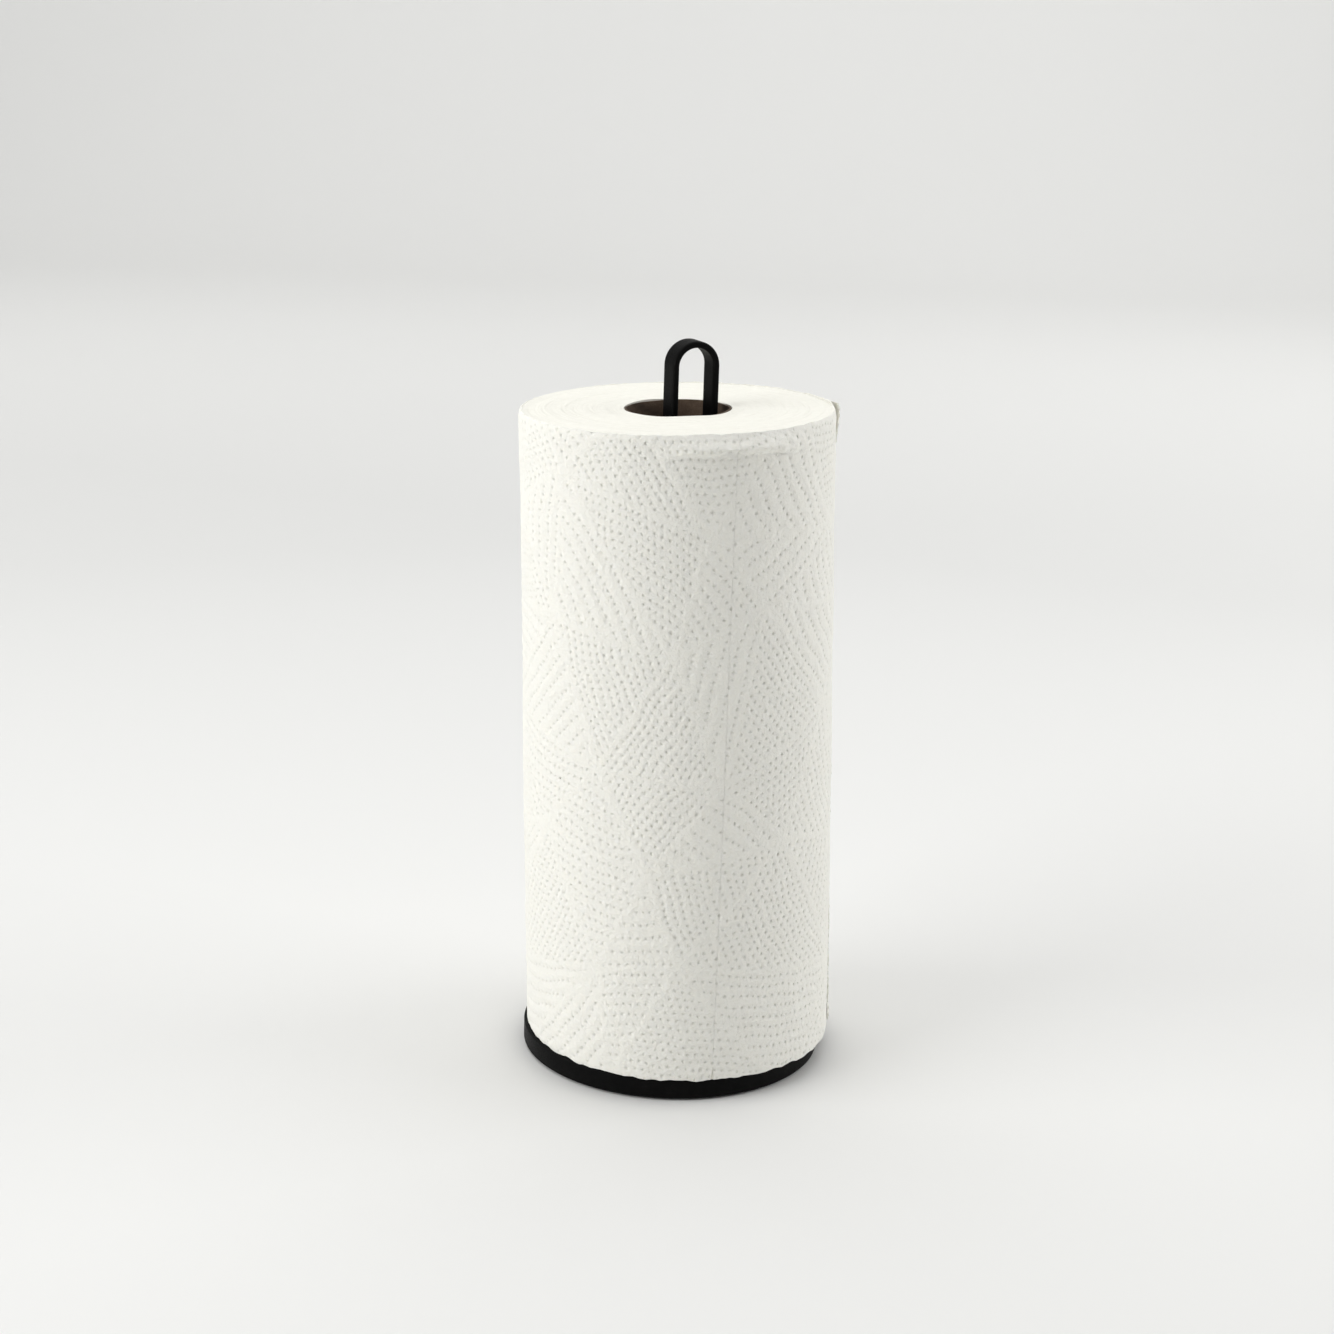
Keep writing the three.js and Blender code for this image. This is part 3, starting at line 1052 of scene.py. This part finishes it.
    def screw(self, number: int, side: int) -> None:
        """A countersunk screw: head down, hexagon socket in it, threaded shank up.

        The thread is a triangular ridge: the shank's radius less its depth times the distance,
        0 to 1, from the middle of a turn, where the turn runs with height less angle.

        Args:
            number: 1 or 2.
            side: which side of the loop, along Y.
        """
        low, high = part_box(f"base_screw_{number}")
        head, bottom, tip = (high.x - low.x) / 2, low.z, high.z
        shank, thread, pitch = self.shank_radius, self.thread_depth, self.thread_pitch
        columns = self.screw_columns
        directions = circle(columns)
        angle = np.linspace(0.0, TURN, columns, endpoint=False)
        hexagon = self.socket_flat / np.cos((angle + TURN / 12) % (TURN / 6) - TURN / 12)
        rim_top = bottom + self.head_rim
        cone_top = rim_top + head - shank
        soft, step, chamfer = self.head_softness, self.thread_step, self.tip_chamfer
        lead_out, lead_in = self.socket_lead
        floor = bottom + self.socket_depth
        rows: list[tuple[np.ndarray, float]] = [
            (np.full(columns, 0.0), floor + self.socket_cone),
            (hexagon * self.socket_taper, floor),
            (hexagon, bottom + lead_in),
            (hexagon + lead_out, bottom),
            (np.full(columns, head - soft), bottom),
            (np.full(columns, head), bottom + soft),
            (np.full(columns, head), rim_top),
            (np.full(columns, shank), cone_top),
        ]
        for height in np.arange(cone_top + step, tip - self.thread_end, step):
            phase = ((height / pitch) - angle / TURN) % 1.0
            rows.append((shank - thread * np.abs(2.0 * phase - 1.0), height))
        rows.append((np.full(columns, shank - thread), tip - chamfer))
        rows.append((np.full(columns, shank - thread - chamfer), tip))
        rows.append((np.zeros(columns), tip))
        radius = np.stack([row[0] for row in rows])
        height = np.array([row[1] for row in rows])
        points = np.concatenate([
            radius[..., None] * directions[None] + np.array([0.0, side * self.screw_offset]),
            np.broadcast_to(height[:, None, None], (*radius.shape, 1)),
        ], axis=-1)
        on_edge = np.zeros(len(rows))
        on_edge[[2, 3, 4, 5]] = 1.0
        patch = carry(Patch(points, wrap_columns=True), edge=on_edge[:, None])
        mesh = new_mesh(f"base_screw_body_{number}", [patch], 35.0)
        facts = PieceFacts(f"countersunk_screw_{number}", "holder", "zinc_steel", (f"base_screw_{number}",))
        add_piece(facts, mesh, self.zinc)


@dataclass(frozen=True)
class Settling:
    """How the soft roll has settled on the base.

    Args:
        foot: height of the roll's foot.
        height: the roll's own height.
        radius: its outer radius.
        lean: how far it leans, in degrees.
        toward: the direction that it leans in, in degrees from +X.
        foot_offset: how far its foot is off the post, away from the lean.
        foot_spread: how much wider it is at the foot.
    """

    foot: float
    height: float
    radius: float
    lean: float = 1.72
    toward: float = 154.5
    foot_offset: float = 2.9 * MM
    foot_spread: float = 0.8 * MM

    def apply(self, points: np.ndarray) -> np.ndarray:
        """Settles points given on an upright roll that stands on the origin.

        With t the height as a share of the roll's, the radius grows by the spread times 1 - t,
        the level moves towards the lean by the height times the lean's tangent less the foot
        offset, and it drops on that side in proportion to t.

        Args:
            points: (..., 3), in metres.

        Returns:
            The settled points, of the same shape.
        """
        slope = math.tan(math.radians(self.lean))
        heading = np.array([math.cos(math.radians(self.toward)), math.sin(math.radians(self.toward))])
        t = points[..., 2:] / self.height
        flat = points[..., :2] * (1.0 + self.foot_spread / self.radius * (1.0 - t))
        drop = slope * (flat @ heading)[..., None] * t
        shift = slope * points[..., 2:] - self.foot_offset
        return np.concatenate([flat + shift * heading, points[..., 2:] - drop + self.foot], axis=-1)


@dataclass(frozen=True)
class DotFans:
    """The emboss: fans of dotted rows that meet along smooth seams.

    The sheet is divided into uneven triangles. In each, dots are pressed in rows along one of
    its sides, the rows bow a little, and the paper puffs up between them. Lengths are in
    millimetres here.
    """

    length: float
    height: float
    side: float = 56.0
    unevenness: float = 0.27
    row_gaps: tuple[float, ...] = (5.6, 4.2, 3.3)
    dot_gap: float = 3.1
    dot_radius: float = 0.9
    dot_depth: float = 0.50
    lip: float = 0.14
    puff: float = 0.34
    seam: float = 1.1
    bow: float = 1.0 / 230.0
    bow_choices: tuple[float, ...] = (-1.0, 0.3, 1.0)
    wander: float = 0.5
    wander_length: float = 16.0
    firmness: float = 0.8
    firmness_change: float = 0.25
    firmness_length: float = 9.0
    row_start: float = 1.1
    fade: tuple[float, float] = (0.6, 1.5)
    seam_level: float = 0.7
    lip_place: float = 1.25
    lip_width: float = 0.3
    seed: int = 12

    def corners(self) -> np.ndarray:
        """The triangles' corners: a staggered lattice, each point moved a little, as (n, 3, 2)."""
        draw = np.random.default_rng(self.seed)
        rise = self.side * math.sqrt(3.0) / 2.0
        columns, rows = int(self.length / self.side) + 4, int(self.height / rise) + 4
        i, j = np.meshgrid(np.arange(columns), np.arange(rows), indexing="ij")
        place = np.stack([(i + 0.5 * (j % 2) - 1.5) * self.side, (j - 1.2) * rise], axis=-1)
        place = place + draw.uniform(-1.0, 1.0, place.shape) * self.unevenness * self.side
        found = []
        for column in range(columns - 1):
            for row in range(rows - 1):
                a, b = place[column, row], place[column + 1, row]
                c, d = place[column, row + 1], place[column + 1, row + 1]
                found += [(a, b, d), (a, d, c)] if row % 2 else [(a, b, c), (b, d, c)]
        return np.array(found)

    def evaluate(self, along: np.ndarray, up: np.ndarray) -> tuple[np.ndarray, np.ndarray, np.ndarray]:
        """Works the emboss out at points of the sheet.

        In a triangle, p runs along the chosen side and q away from it, plus a bow that grows
        with the squared distance from the side's middle. The height is the puff times half of
        1 - cos(2 pi q / row gap), less the dot depth times the press, both faded out towards
        the triangle's sides. Soft random waves bend the rows and make the emboss firmer in some
        places than in others.

        Args:
            along: distance along the sheet, in millimetres.
            up: height on the sheet, in millimetres.

        Returns:
            The height in millimetres, the fan place (p, q, share) and the row gap.
        """
        draw = np.random.default_rng(self.seed + 1)
        waves = ripple(along, up, self.firmness_length, self.seed + 4)
        firmness = self.firmness + self.firmness_change * waves
        aside, upward = (
            self.wander * ripple(along, up, self.wander_length, self.seed + number) for number in (2, 3)
        )
        along, up = along + aside, up + upward
        height = np.zeros(along.shape)
        fan = np.zeros((*along.shape, 3))
        gaps = np.full(along.shape, self.row_gaps[0])
        for triangle in self.corners():
            first = draw.integers(3)
            gap = self.row_gaps[draw.integers(len(self.row_gaps))]
            bow = self.bow * draw.choice(self.bow_choices)
            low, high = triangle.min(axis=0), triangle.max(axis=0)
            near = (along >= low[0]) & (along <= high[0]) & (up >= low[1]) & (up <= high[1])
            if not near.any():
                continue
            x, y = along[near], up[near]
            sides = np.stack([self.distance(triangle, k, x, y) for k in range(3)])
            inside = sides.min(axis=0)
            start, end = triangle[first], triangle[(first + 1) % 3]
            heading = (end - start) / np.linalg.norm(end - start)
            p = (x - start[0]) * heading[0] + (y - start[1]) * heading[1]
            middle = np.linalg.norm(end - start) / 2.0
            q = sides[first] - self.seam - self.row_start + bow * (p - middle) ** 2
            share = smooth_step(self.seam * self.fade[0], self.seam * self.fade[1], inside)
            puffed = self.puff * gap / self.row_gaps[0] * (0.5 - 0.5 * np.cos(TURN * q / gap))
            level = share * (puffed - self.dot_depth * self.press(p, q, gap))
            level = firmness[near] * level + (1.0 - share) * self.puff * self.seam_level
            within = inside >= 0.0
            target = np.flatnonzero(near.ravel())[within]
            height.ravel()[target] = level[within]
            gaps.ravel()[target] = gap
            fan.reshape(-1, 3)[target] = np.stack([p, q, share], axis=-1)[within]
        return height, fan, gaps

    @staticmethod
    def distance(triangle: np.ndarray, k: int, x: np.ndarray, y: np.ndarray) -> np.ndarray:
        """How far points lie inside side k of a counter-clockwise triangle."""
        start, end = triangle[k], triangle[(k + 1) % 3]
        edge = (end - start) / np.linalg.norm(end - start)
        return edge[0] * (y - start[1]) - edge[1] * (x - start[0])

    def press(self, p: np.ndarray, q: np.ndarray, gap: float) -> np.ndarray:
        """How far dots press in at (p, q): 1 at a dot's middle, and below 0 on its raised lip.

        With d the distance from the nearest dot's middle as a share of its radius, the press is
        (1 - d squared) squared, less the lip's share times a bell curve about the lip's place.
        """
        row = np.round(q / gap)
        across = q - row * gap
        steps = p / self.dot_gap + 0.5 * (np.abs(row) % 2)
        along = (steps - np.round(steps)) * self.dot_gap
        away = np.hypot(across, along) / self.dot_radius
        raised = self.lip / self.dot_depth * np.exp(-(((away - self.lip_place) / self.lip_width) ** 2))
        return np.clip(1.0 - away**2, 0.0, 1.0) ** 2 - raised


@dataclass
class KitchenRoll:
    """The roll: core, wound paper and the three sheets of the outermost turn.

    Sizes are the CAD roll's, but the core and the bore are narrower and the core's ends are set
    back. The foot and the height come from the CAD boxes.
    """

    paper: EmbossedPaper = field(default_factory=EmbossedPaper)
    edges: WoundEdges = field(default_factory=WoundEdges)
    board: CoreBoard = field(default_factory=CoreBoard)
    radius: float = 62.85 * MM
    core_inner: float = 20.3 * MM
    core_wall: float = 0.9 * MM
    core_set_back: float = 0.4 * MM
    bore: float = 21.4 * MM
    sheet_angle: float = 140.7
    free_edge: float = -23.5
    skew: float = 8.3
    pitch: float = 0.6 * MM
    sheets: int = 3
    sheet_steps: tuple[int, int] = (57, 96)
    front_steps: int = 4
    sheet_thickness: float = 0.5 * MM
    perforation_gap: float = 0.03 * MM
    dip_depth: float = 0.14 * MM
    dip_width: float = 0.5 * MM
    ply_pitch: float = 60.0 * MM
    ply_step: float = 0.15 * MM
    ply_sink: float = 0.05 * MM
    core_lip: float = 0.15 * MM
    core_rim_waves: float = 0.25 * MM
    rim_softness: float = 0.4 * MM
    face_set_back: float = 0.25 * MM
    group_dips: float = 0.16 * MM
    turn_dips: float = 0.07 * MM
    cover: tuple[float, float] = (354.0, 362.0)
    rim_tuck: float = 0.5 * MM
    rim_tuck_reach: float = 1.8 * MM
    plain_rim: tuple[float, float] = (3.0 * MM, 1.0 * MM)
    plain_foot: float = 1.5 * MM
    broad_slack: float = 0.22 * MM
    narrow_slack: float = 0.10 * MM
    slack_inward: float = 0.1 * MM
    fold_height: float = 2.8 * MM
    fold_line: float = 7.2 * MM
    fold_start: tuple[float, float] = (252.0, 272.0)
    fold_end: tuple[float, float] = (292.0, 322.0)
    curl_height: float = 2.6 * MM
    curl_reach: float = 22.0 * MM
    curl_drop: float = 34.0 * MM
    edge_lift: float = 0.15 * MM
    edge_lift_reach: float = 9.0 * MM
    tooth_pitch: float = 3.2 * MM
    tooth_depth: float = 0.45 * MM
    nick_width: float = 0.5 * MM

    def __post_init__(self) -> None:
        """Works out the roll's height and how it has settled."""
        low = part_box("outer_sheet_2")[0]
        core_low, core_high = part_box("core_tube")
        self.height = core_high.z - core_low.z + 2.0 * (core_low.z - low.z)
        self.settling = Settling(foot=low.z, height=self.height, radius=self.radius)

    def build(self) -> None:
        """Builds every piece of the roll."""
        self.core()
        self.wound()
        for index in range(self.sheets):
            self.sheet(index)

    def core(self) -> None:
        """The board tube: a closed ring section, with a low spiral step where the plies meet.

        Between seams the inner wall's radius grows by the ply step, then drops back at the seam.
        """
        rows, columns = 160, 144
        angle = np.linspace(0.0, TURN, columns, endpoint=False)
        height = np.linspace(self.core_set_back, self.height - self.core_set_back, rows)
        phase = (height[:, None] / self.ply_pitch - angle[None] / TURN) % 1.0
        seam = np.exp(-((np.minimum(phase, 1.0 - phase) / 0.02) ** 2))
        step = self.ply_step * phase
        inner = self.core_inner + step - self.ply_sink
        outer = np.full((rows, columns), self.core_inner + self.core_wall)
        outer[[0, -1]] -= self.core_lip
        inner[[0, -1]] += self.core_lip
        radius = np.concatenate([outer, inner[::-1]])
        level = np.concatenate([height, height[::-1]])[:, None]
        rough = self.core_rim_waves * ripple(np.cos(angle), np.sin(angle), 1.3, 5)[None]
        level = level + rough * (level > self.height / 2)
        flat = radius[..., None] * circle(columns)[None]
        points = np.concatenate([flat, np.broadcast_to(level, radius.shape)[..., None]], axis=-1)
        patch = Patch(self.settling.apply(points), wrap_rows=True, wrap_columns=True)
        carry(patch, seam=0.75 * np.concatenate([seam, seam[::-1]]))
        mesh = new_mesh("core_tube_body", [patch], 50.0)
        add_piece(PieceFacts("board_core", "paper", "core_board", ("core_tube",)), mesh, self.board)

    def wound(self) -> None:
        """The wound paper: a closed ring whose end faces show the turns' edges.

        Its wall follows the inside of the sheets round it. On the end faces the level falls by
        a soft random step per group of turns, and by a fine groove between turns, both
        following a slow spiral: radius less a share of the angle.
        """
        columns, across, up_wall = 360, 96, 24
        angle = np.linspace(0.0, TURN, columns, endpoint=False)
        soft, set_back = self.rim_softness, self.face_set_back
        face = np.linspace(0.0, 1.0, across)
        wall = np.linspace(soft, self.height - soft, up_wall)
        corner = arc((0.0, 0.0), soft, 0.0, 90.0, 6)[1:-1]
        outside = np.ones(up_wall + 2 * len(corner))
        share = np.concatenate([face, outside, face[::-1], np.zeros(up_wall)])
        inward = np.concatenate([
            np.full(across, soft),
            soft - corner[::-1, 0],
            np.zeros(up_wall),
            soft - corner[:, 0],
            np.full(across, soft),
            np.zeros(up_wall),
        ])
        level = np.concatenate([
            np.zeros(across),
            soft - corner[::-1, 1],
            wall,
            self.height - soft + corner[:, 1],
            np.full(across, self.height),
            wall[::-1],
        ])[:, None]
        edge = self.inner_radius(np.degrees(angle)[None, :], level / self.height) - inward[:, None]
        radius = self.bore + share[:, None] * (edge - self.bore)
        spiral = radius - 0.45 * MM * angle[None] / TURN
        is_top = (level >= self.height - WELD_DISTANCE) * 1.0
        is_foot = (level <= WELD_DISTANCE) * 1.0
        groups = ripple(spiral, 6.0 * MM * np.cos(angle)[None], 7.0 * MM, 21)
        turns = ripple(spiral, 2.0 * MM * np.sin(angle)[None], 1.7 * MM, 22)
        dips = self.group_dips * groups + self.turn_dips * turns
        level = level + is_top * (dips - set_back) + is_foot * (set_back - dips)
        flat = radius[..., None] * circle(columns)[None]
        points = np.concatenate([flat, level[..., None]], axis=-1)
        patch = Patch(self.settling.apply(points), wrap_rows=True, wrap_columns=True)
        # gap marks where shade is painted into the grooves between turns on the end faces
        carry(patch, gap=smooth_step(0.5, 1.8, -turns) * (is_top + is_foot))
        mesh = new_mesh("wound_paper_body", [patch], 60.0)
        add_piece(PieceFacts("wound_paper_turns", "paper", "wound_towel", ("wound_paper",)), mesh, self.edges)

    def inner_radius(self, degrees: np.ndarray, up: np.ndarray) -> np.ndarray:
        """The radius just inside the sheets, less a hair's breadth.

        It falls with the slow spiral, a whole turn further on where the last sheet runs under
        the first one.

        Args:
            degrees: angle round the roll, in degrees.
            up: height, as a share of the roll's.

        Returns:
            The radius, of both parameters' shape.
        """
        past = (degrees - self.free_edge - self.skew * up) % 360.0
        overlap = self.sheets * self.sheet_angle - 360.0
        under = 1.0 - smooth_step(overlap, overlap + 4.0, past)
        return self.radius - self.sheet_thickness - 0.1 * MM - self.pitch * (past / 360.0 + under)

    def sheet(self, index: int) -> None:
        """One embossed sheet of the outermost turn: a fine front, a coarser back and a rim.

        Args:
            index: the sheet's number from the free edge, from 0.
        """
        columns, rows = self.sheet_steps
        fine = self.front_steps
        front = self.sheet_side(index, fine * columns + 1, fine * rows + 1, 0.0)
        back = self.sheet_side(index, columns + 1, rows + 1, self.sheet_thickness)
        mesh = new_mesh(f"outer_sheet_body_{index + 1}", close_shell(front, back), 60.0)
        name = f"embossed_sheet_{index + 1}"
        facts = PieceFacts(name, "paper", "towel_sheet", (f"outer_sheet_{index + 1}",))
        piece = add_piece(facts, mesh, self.paper)

    def sheet_length(self) -> float:
        """A sheet's length from one perforation to the next, in metres."""
        return math.radians(self.sheet_angle) * self.radius

    def sheet_side(self, index: int, columns: int, rows: int, behind: float) -> Patch:
        """One side of a sheet.

        Row i runs up the sheet and column j along it. The point's angle is the free edge's, plus
        the sheets before it, plus its share of the sheet and of the skew; its radius is the slow
        spiral's plus the emboss, the sheet's own slackness and, on the first sheet, the curl of
        its free corner.

        Args:
            index: the sheet's number from the free edge, from 0.
            columns: points along the sheet.
            rows: points up it.
            behind: how far this side is behind the front; only the front has the emboss.

        Returns:
            The side's grid, with the emboss's places carried on it.
        """
        along = np.linspace(0.0, 1.0, columns)[None, :]
        up = np.linspace(0.0, 1.0, rows)[:, None]
        length = self.sheet_length()
        travel = length * (index + along) + 0.0 * up
        level = self.height * up + 0.0 * along
        past = self.sheet_angle * travel / length
        fans = DotFans(length=length * self.sheets / MM, height=self.height / MM)
        emboss, place, gaps = fans.evaluate(travel / MM, level / MM)
        covered = smooth_step(*self.cover, past)
        showing = 1.0 - 0.9 * covered
        radius = self.radius - self.pitch * past / 360.0 - behind
        if not behind:
            radius = radius + MM * emboss * showing * self.edge_fade(level)
            radius = radius - self.perforation_dip(index, along * length) * showing
        radius = radius + self.slack(travel, level, past) * (1.0 - covered) + self.curl(index, travel, level)
        at_rim = smooth_step(self.height - self.rim_tuck_reach, self.height, level)
        radius = radius - self.rim_tuck * at_rim**2 * showing
        shift = self.cut_edge(index, along, level)
        angle = np.radians(self.free_edge + past + self.skew * up) + shift / self.radius
        level = level + self.ragged(travel, level)
        points = np.stack([radius * np.cos(angle), radius * np.sin(angle), level], axis=-1)
        return Patch(self.settling.apply(points), carried={"fan_place": place, "row_gap": gaps})

    def edge_fade(self, level: np.ndarray) -> np.ndarray:
        """Fades the emboss out just before a sheet's upper and lower edges."""
        start, end = self.plain_rim
        top = 1.0 - smooth_step(self.height - start, self.height - end, level)
        return top * smooth_step(0.0, self.plain_foot, level)

    def perforation_dip(self, index: int, place: np.ndarray) -> np.ndarray:
        """How far the sheet dips at its perforations, as a bell curve of the dip's width."""
        left = self.sheet_length() - place
        start = np.exp(-((place / self.dip_width) ** 2)) * (index > 0)
        end = np.exp(-((left / self.dip_width) ** 2)) * (index < self.sheets - 1)
        return self.dip_depth * (start + end)

    def slack(self, travel: np.ndarray, level: np.ndarray, past: np.ndarray) -> np.ndarray:
        """How far the sheet stands off the roll: soft waves, and a fold under its upper rim.

        The waves never reach far inwards. The fold stands out just above a wandering line
        under the rim, and falls back below that line.
        """
        waves = self.broad_slack * ripple(travel, level, 70.0 * MM, 3)
        waves = waves + self.narrow_slack * ripple(travel, level * 0.5, 22.0 * MM, 4)
        below = self.height - level
        line = self.fold_line + 1.3 * MM * np.sin(travel / (13.0 * MM))
        line = line + 0.3 * MM * np.sin(travel / (2.6 * MM))
        rise = smooth_step(0.3 * MM, 6.5 * MM, below)
        fall = 1.0 - smooth_step(line - 0.2 * MM, line + 2.2 * MM, below)
        stretch = smooth_step(*self.fold_start, past) * (1.0 - smooth_step(*self.fold_end, past))
        return np.maximum(waves, -self.slack_inward) + self.fold_height * rise * fall * stretch

    def curl(self, index: int, travel: np.ndarray, level: np.ndarray) -> np.ndarray:
        """The lift of the free edge and the curl of its upper corner, strongest at the corner."""
        if index:
            return np.zeros(np.broadcast(travel, level).shape)
        near_edge = 1.0 - smooth_step(0.0, self.curl_reach, travel)
        near_top = smooth_step(self.height - self.curl_drop, self.height - 1.0 * MM, level)
        flutter = 1.0 + 0.3 * ripple(level, 0.0 * level, 11.0 * MM, 31)
        lift = self.edge_lift * (1.0 - smooth_step(0.0, self.edge_lift_reach, travel)) * flutter
        corner = near_edge**1.3 * near_top**1.4 * (0.85 + 0.15 * flutter)
        return self.curl_height * corner + lift

    def cut_edge(self, index: int, along: np.ndarray, level: np.ndarray) -> np.ndarray:
        """A move along the sheet that shapes its two perforated edges.

        Each edge keeps a hair's breadth from its neighbour's, and a nick opens at the foot of
        the one that faces forward. The free edge has torn teeth: a squared-off sine plus a fine
        ripple.
        """
        near_start = 1.0 - smooth_step(0.0, 0.012, along)
        near_end = smooth_step(0.988, 1.0, along)
        nick = self.nick_width * (1.0 - smooth_step(1.0 * MM, 6.0 * MM, level))
        squared_off = np.tanh(3.0 * np.sin(TURN * level / self.tooth_pitch))
        teeth = squared_off + 0.4 * ripple(level, 0.0 * level, 1.7 * MM, 9)
        start = self.tooth_depth * teeth if index == 0 else self.perforation_gap + nick * (index == 2)
        end = self.perforation_gap + nick * (index == 1)
        return start * near_start - end * near_end

    def ragged(self, travel: np.ndarray, level: np.ndarray) -> np.ndarray:
        """Unevenness of the cut edges: small and broad waves, faded out away from each edge."""
        at_foot = 1.0 - smooth_step(0.0, 8.0 * MM, level)
        at_top = smooth_step(self.height - 8.0 * MM, self.height, level)
        fine = ripple(travel, 0.0 * travel, 3.1 * MM, 13)
        waves = ripple(travel, 0.0 * travel, 9.0 * MM, 14)
        broad = ripple(travel, 0.0 * travel, 60.0 * MM, 15)
        foot = 0.10 * MM * fine + 0.30 * MM * waves + 0.1 * MM
        return foot * at_foot + (0.06 * MM * fine + 0.16 * MM * waves + 0.22 * MM * broad) * at_top


# --------------------------------------------------------------------------------------
# Stage, light and camera
# --------------------------------------------------------------------------------------


@dataclass(frozen=True)
class Eye:
    """The camera: where it stands and how it looks.

    Args:
        facing: the way it faces, in degrees from +Y towards +X.
        distance: its distance from the post's axis over the floor.
        height: its height.
        pitch: how far down it looks, in degrees.
        roll: how far it is turned, in degrees, so that the scene seems turned clockwise.
        swing: how far it looks past the axis, in degrees to the left.
        lens: focal length in millimetres on a 36 mm sensor.
    """

    facing: float = 25.5
    distance: float = 0.966
    height: float = 0.436
    pitch: float = 15.77
    roll: float = 1.79
    swing: float = 0.36
    lens: float = 66.52

    def set_up(self) -> None:
        """Makes the camera and gives it to the scene."""
        stand = math.radians(self.facing)
        look = math.radians(self.facing - self.swing)
        dip, turn = math.radians(self.pitch), math.radians(self.roll)
        forward = Vector((math.sin(look) * math.cos(dip), math.cos(look) * math.cos(dip), -math.sin(dip)))
        level = forward.cross(Vector((0.0, 0.0, 1.0))).normalized()
        upright = level.cross(forward)
        right = math.cos(turn) * level + math.sin(turn) * upright
        above = math.cos(turn) * upright - math.sin(turn) * level
        data = bpy.data.cameras.new("eye")
        data.lens = self.lens
        data.sensor_width = 36.0
        data.clip_start = 0.05
        camera = new_object("eye", data)
        axes = Matrix((right, above, -forward)).transposed().to_4x4()
        place = (-self.distance * math.sin(stand), -self.distance * math.cos(stand), self.height)
        camera.matrix_world = Matrix.Translation(place) @ axes
        bpy.context.scene.camera = camera
        log.info("camera set at %.3f m", self.distance)


@dataclass(frozen=True)
class Spot:
    """A place in the studio, seen from the post.

    Args:
        bearing: its direction, in degrees from the camera's right, turning left over the back.
        reach: its distance over the floor.
        height: its height.
    """

    bearing: float
    reach: float
    height: float

    def point(self, facing: float) -> Vector:
        """The place in the model's frame, for a camera that faces the given way."""
        angle = math.radians(self.bearing - facing)
        return Vector((self.reach * math.cos(angle), self.reach * math.sin(angle), self.height))


@dataclass(frozen=True)
class Softbox:
    """A square area light.

    Args:
        name: its name.
        stand: where it stands.
        side: its side length.
        power: its power in watts.
        aim: what it faces.
    """

    name: str
    stand: Spot
    side: float
    power: float
    aim: Spot = Spot(0.0, 0.0, 0.14)

    def set_up(self, facing: float) -> None:
        """Makes the light, for a camera that faces the given way."""
        data = bpy.data.lights.new(self.name, "AREA")
        data.shape = "SQUARE"
        data.size = self.side
        data.energy = self.power
        lamp = new_object(self.name, data)
        place = self.stand.point(facing)
        aim = self.aim.point(facing) - place
        lamp.matrix_world = Matrix.Translation(place) @ aim.to_track_quat("-Z", "Y").to_matrix().to_4x4()
        log.info("light %s: %.1f W", self.name, self.power)


@dataclass
class Studio:
    """The pale stage, the soft lights and the sky."""

    eye: Eye = field(default_factory=Eye)
    stage_finish: PaleStage = field(default_factory=PaleStage)
    half_width: float = 4.0
    front: float = -3.0
    back: float = 2.6
    bend: float = 1.2
    wall: float = 3.0
    sky: float = 0.30
    lights: tuple[Softbox, ...] = (
        Softbox("key_left", Spot(206.0, 1.6, 0.8), 1.3, 18.8),
        Softbox("fill_right", Spot(4.0, 1.6, 0.75), 1.3, 12.4),
        Softbox("overhead", Spot(95.0, 0.3, 1.9), 1.8, 18.0),
        Softbox("wall_wash_wide", Spot(90.0, 1.2, 2.6), 3.2, 12.4, Spot(90.0, 3.6, 0.8)),
        Softbox("wall_wash_left", Spot(128.0, 1.8, 1.9), 1.5, 17.9, Spot(118.0, 3.9, 1.0)),
        Softbox("wall_wash_right", Spot(52.0, 1.8, 1.9), 1.5, 24.8, Spot(62.0, 3.9, 1.0)),
    )

    def build(self) -> None:
        """Builds the stage, the lights, the sky and the camera."""
        self.stage()
        self.daylight()
        for light in self.lights:
            light.set_up(self.eye.facing)
        self.eye.set_up()

    def stage(self) -> None:
        """A floor that bends up into a wall behind the holder, turned to face the camera.

        Its profile is a straight floor, a quarter circle and a straight wall, carried sideways.
        """
        floor = np.stack([np.linspace(self.front, self.back, 24), np.zeros(24)], axis=-1)
        rise = arc((self.back, self.bend), self.bend, -90, 0, 25)[1:]
        upright = np.linspace(self.bend, self.wall, 7)[1:]
        wall = np.stack([np.full(len(upright), self.back + self.bend), upright], axis=-1)
        profile = np.concatenate([floor, rise, wall])
        across = np.linspace(-self.half_width, self.half_width, 30)
        turn = math.radians(self.eye.facing)
        x = across[None, :] * math.cos(turn) + profile[:, :1] * math.sin(turn)
        y = -across[None, :] * math.sin(turn) + profile[:, :1] * math.cos(turn)
        z = np.broadcast_to(profile[:, 1:], x.shape)
        mesh = new_mesh("stage_surface", [Patch(np.stack([x, y, z], axis=-1))])
        stage = new_object("stage", mesh)
        mesh.materials.append(self.stage_finish.material())

    def daylight(self) -> None:
        """An even pale sky."""
        world = bpy.data.worlds.new("soft_sky")
        world.use_nodes = True
        background = world.node_tree.nodes["Background"]
        background.inputs["Color"].default_value = (1.0, 1.0, 1.0, 1.0)
        background.inputs["Strength"].default_value = self.sky
        bpy.context.scene.world = world
        bpy.context.scene.view_settings.view_transform = "Standard"


def main() -> None:
    """Builds the object and its studio."""
    Studio().build()
    Holder().build()
    KitchenRoll().build()


if __name__ == "__main__":
    logging.basicConfig(level=logging.INFO, format="%(name)s: %(message)s")
    main()
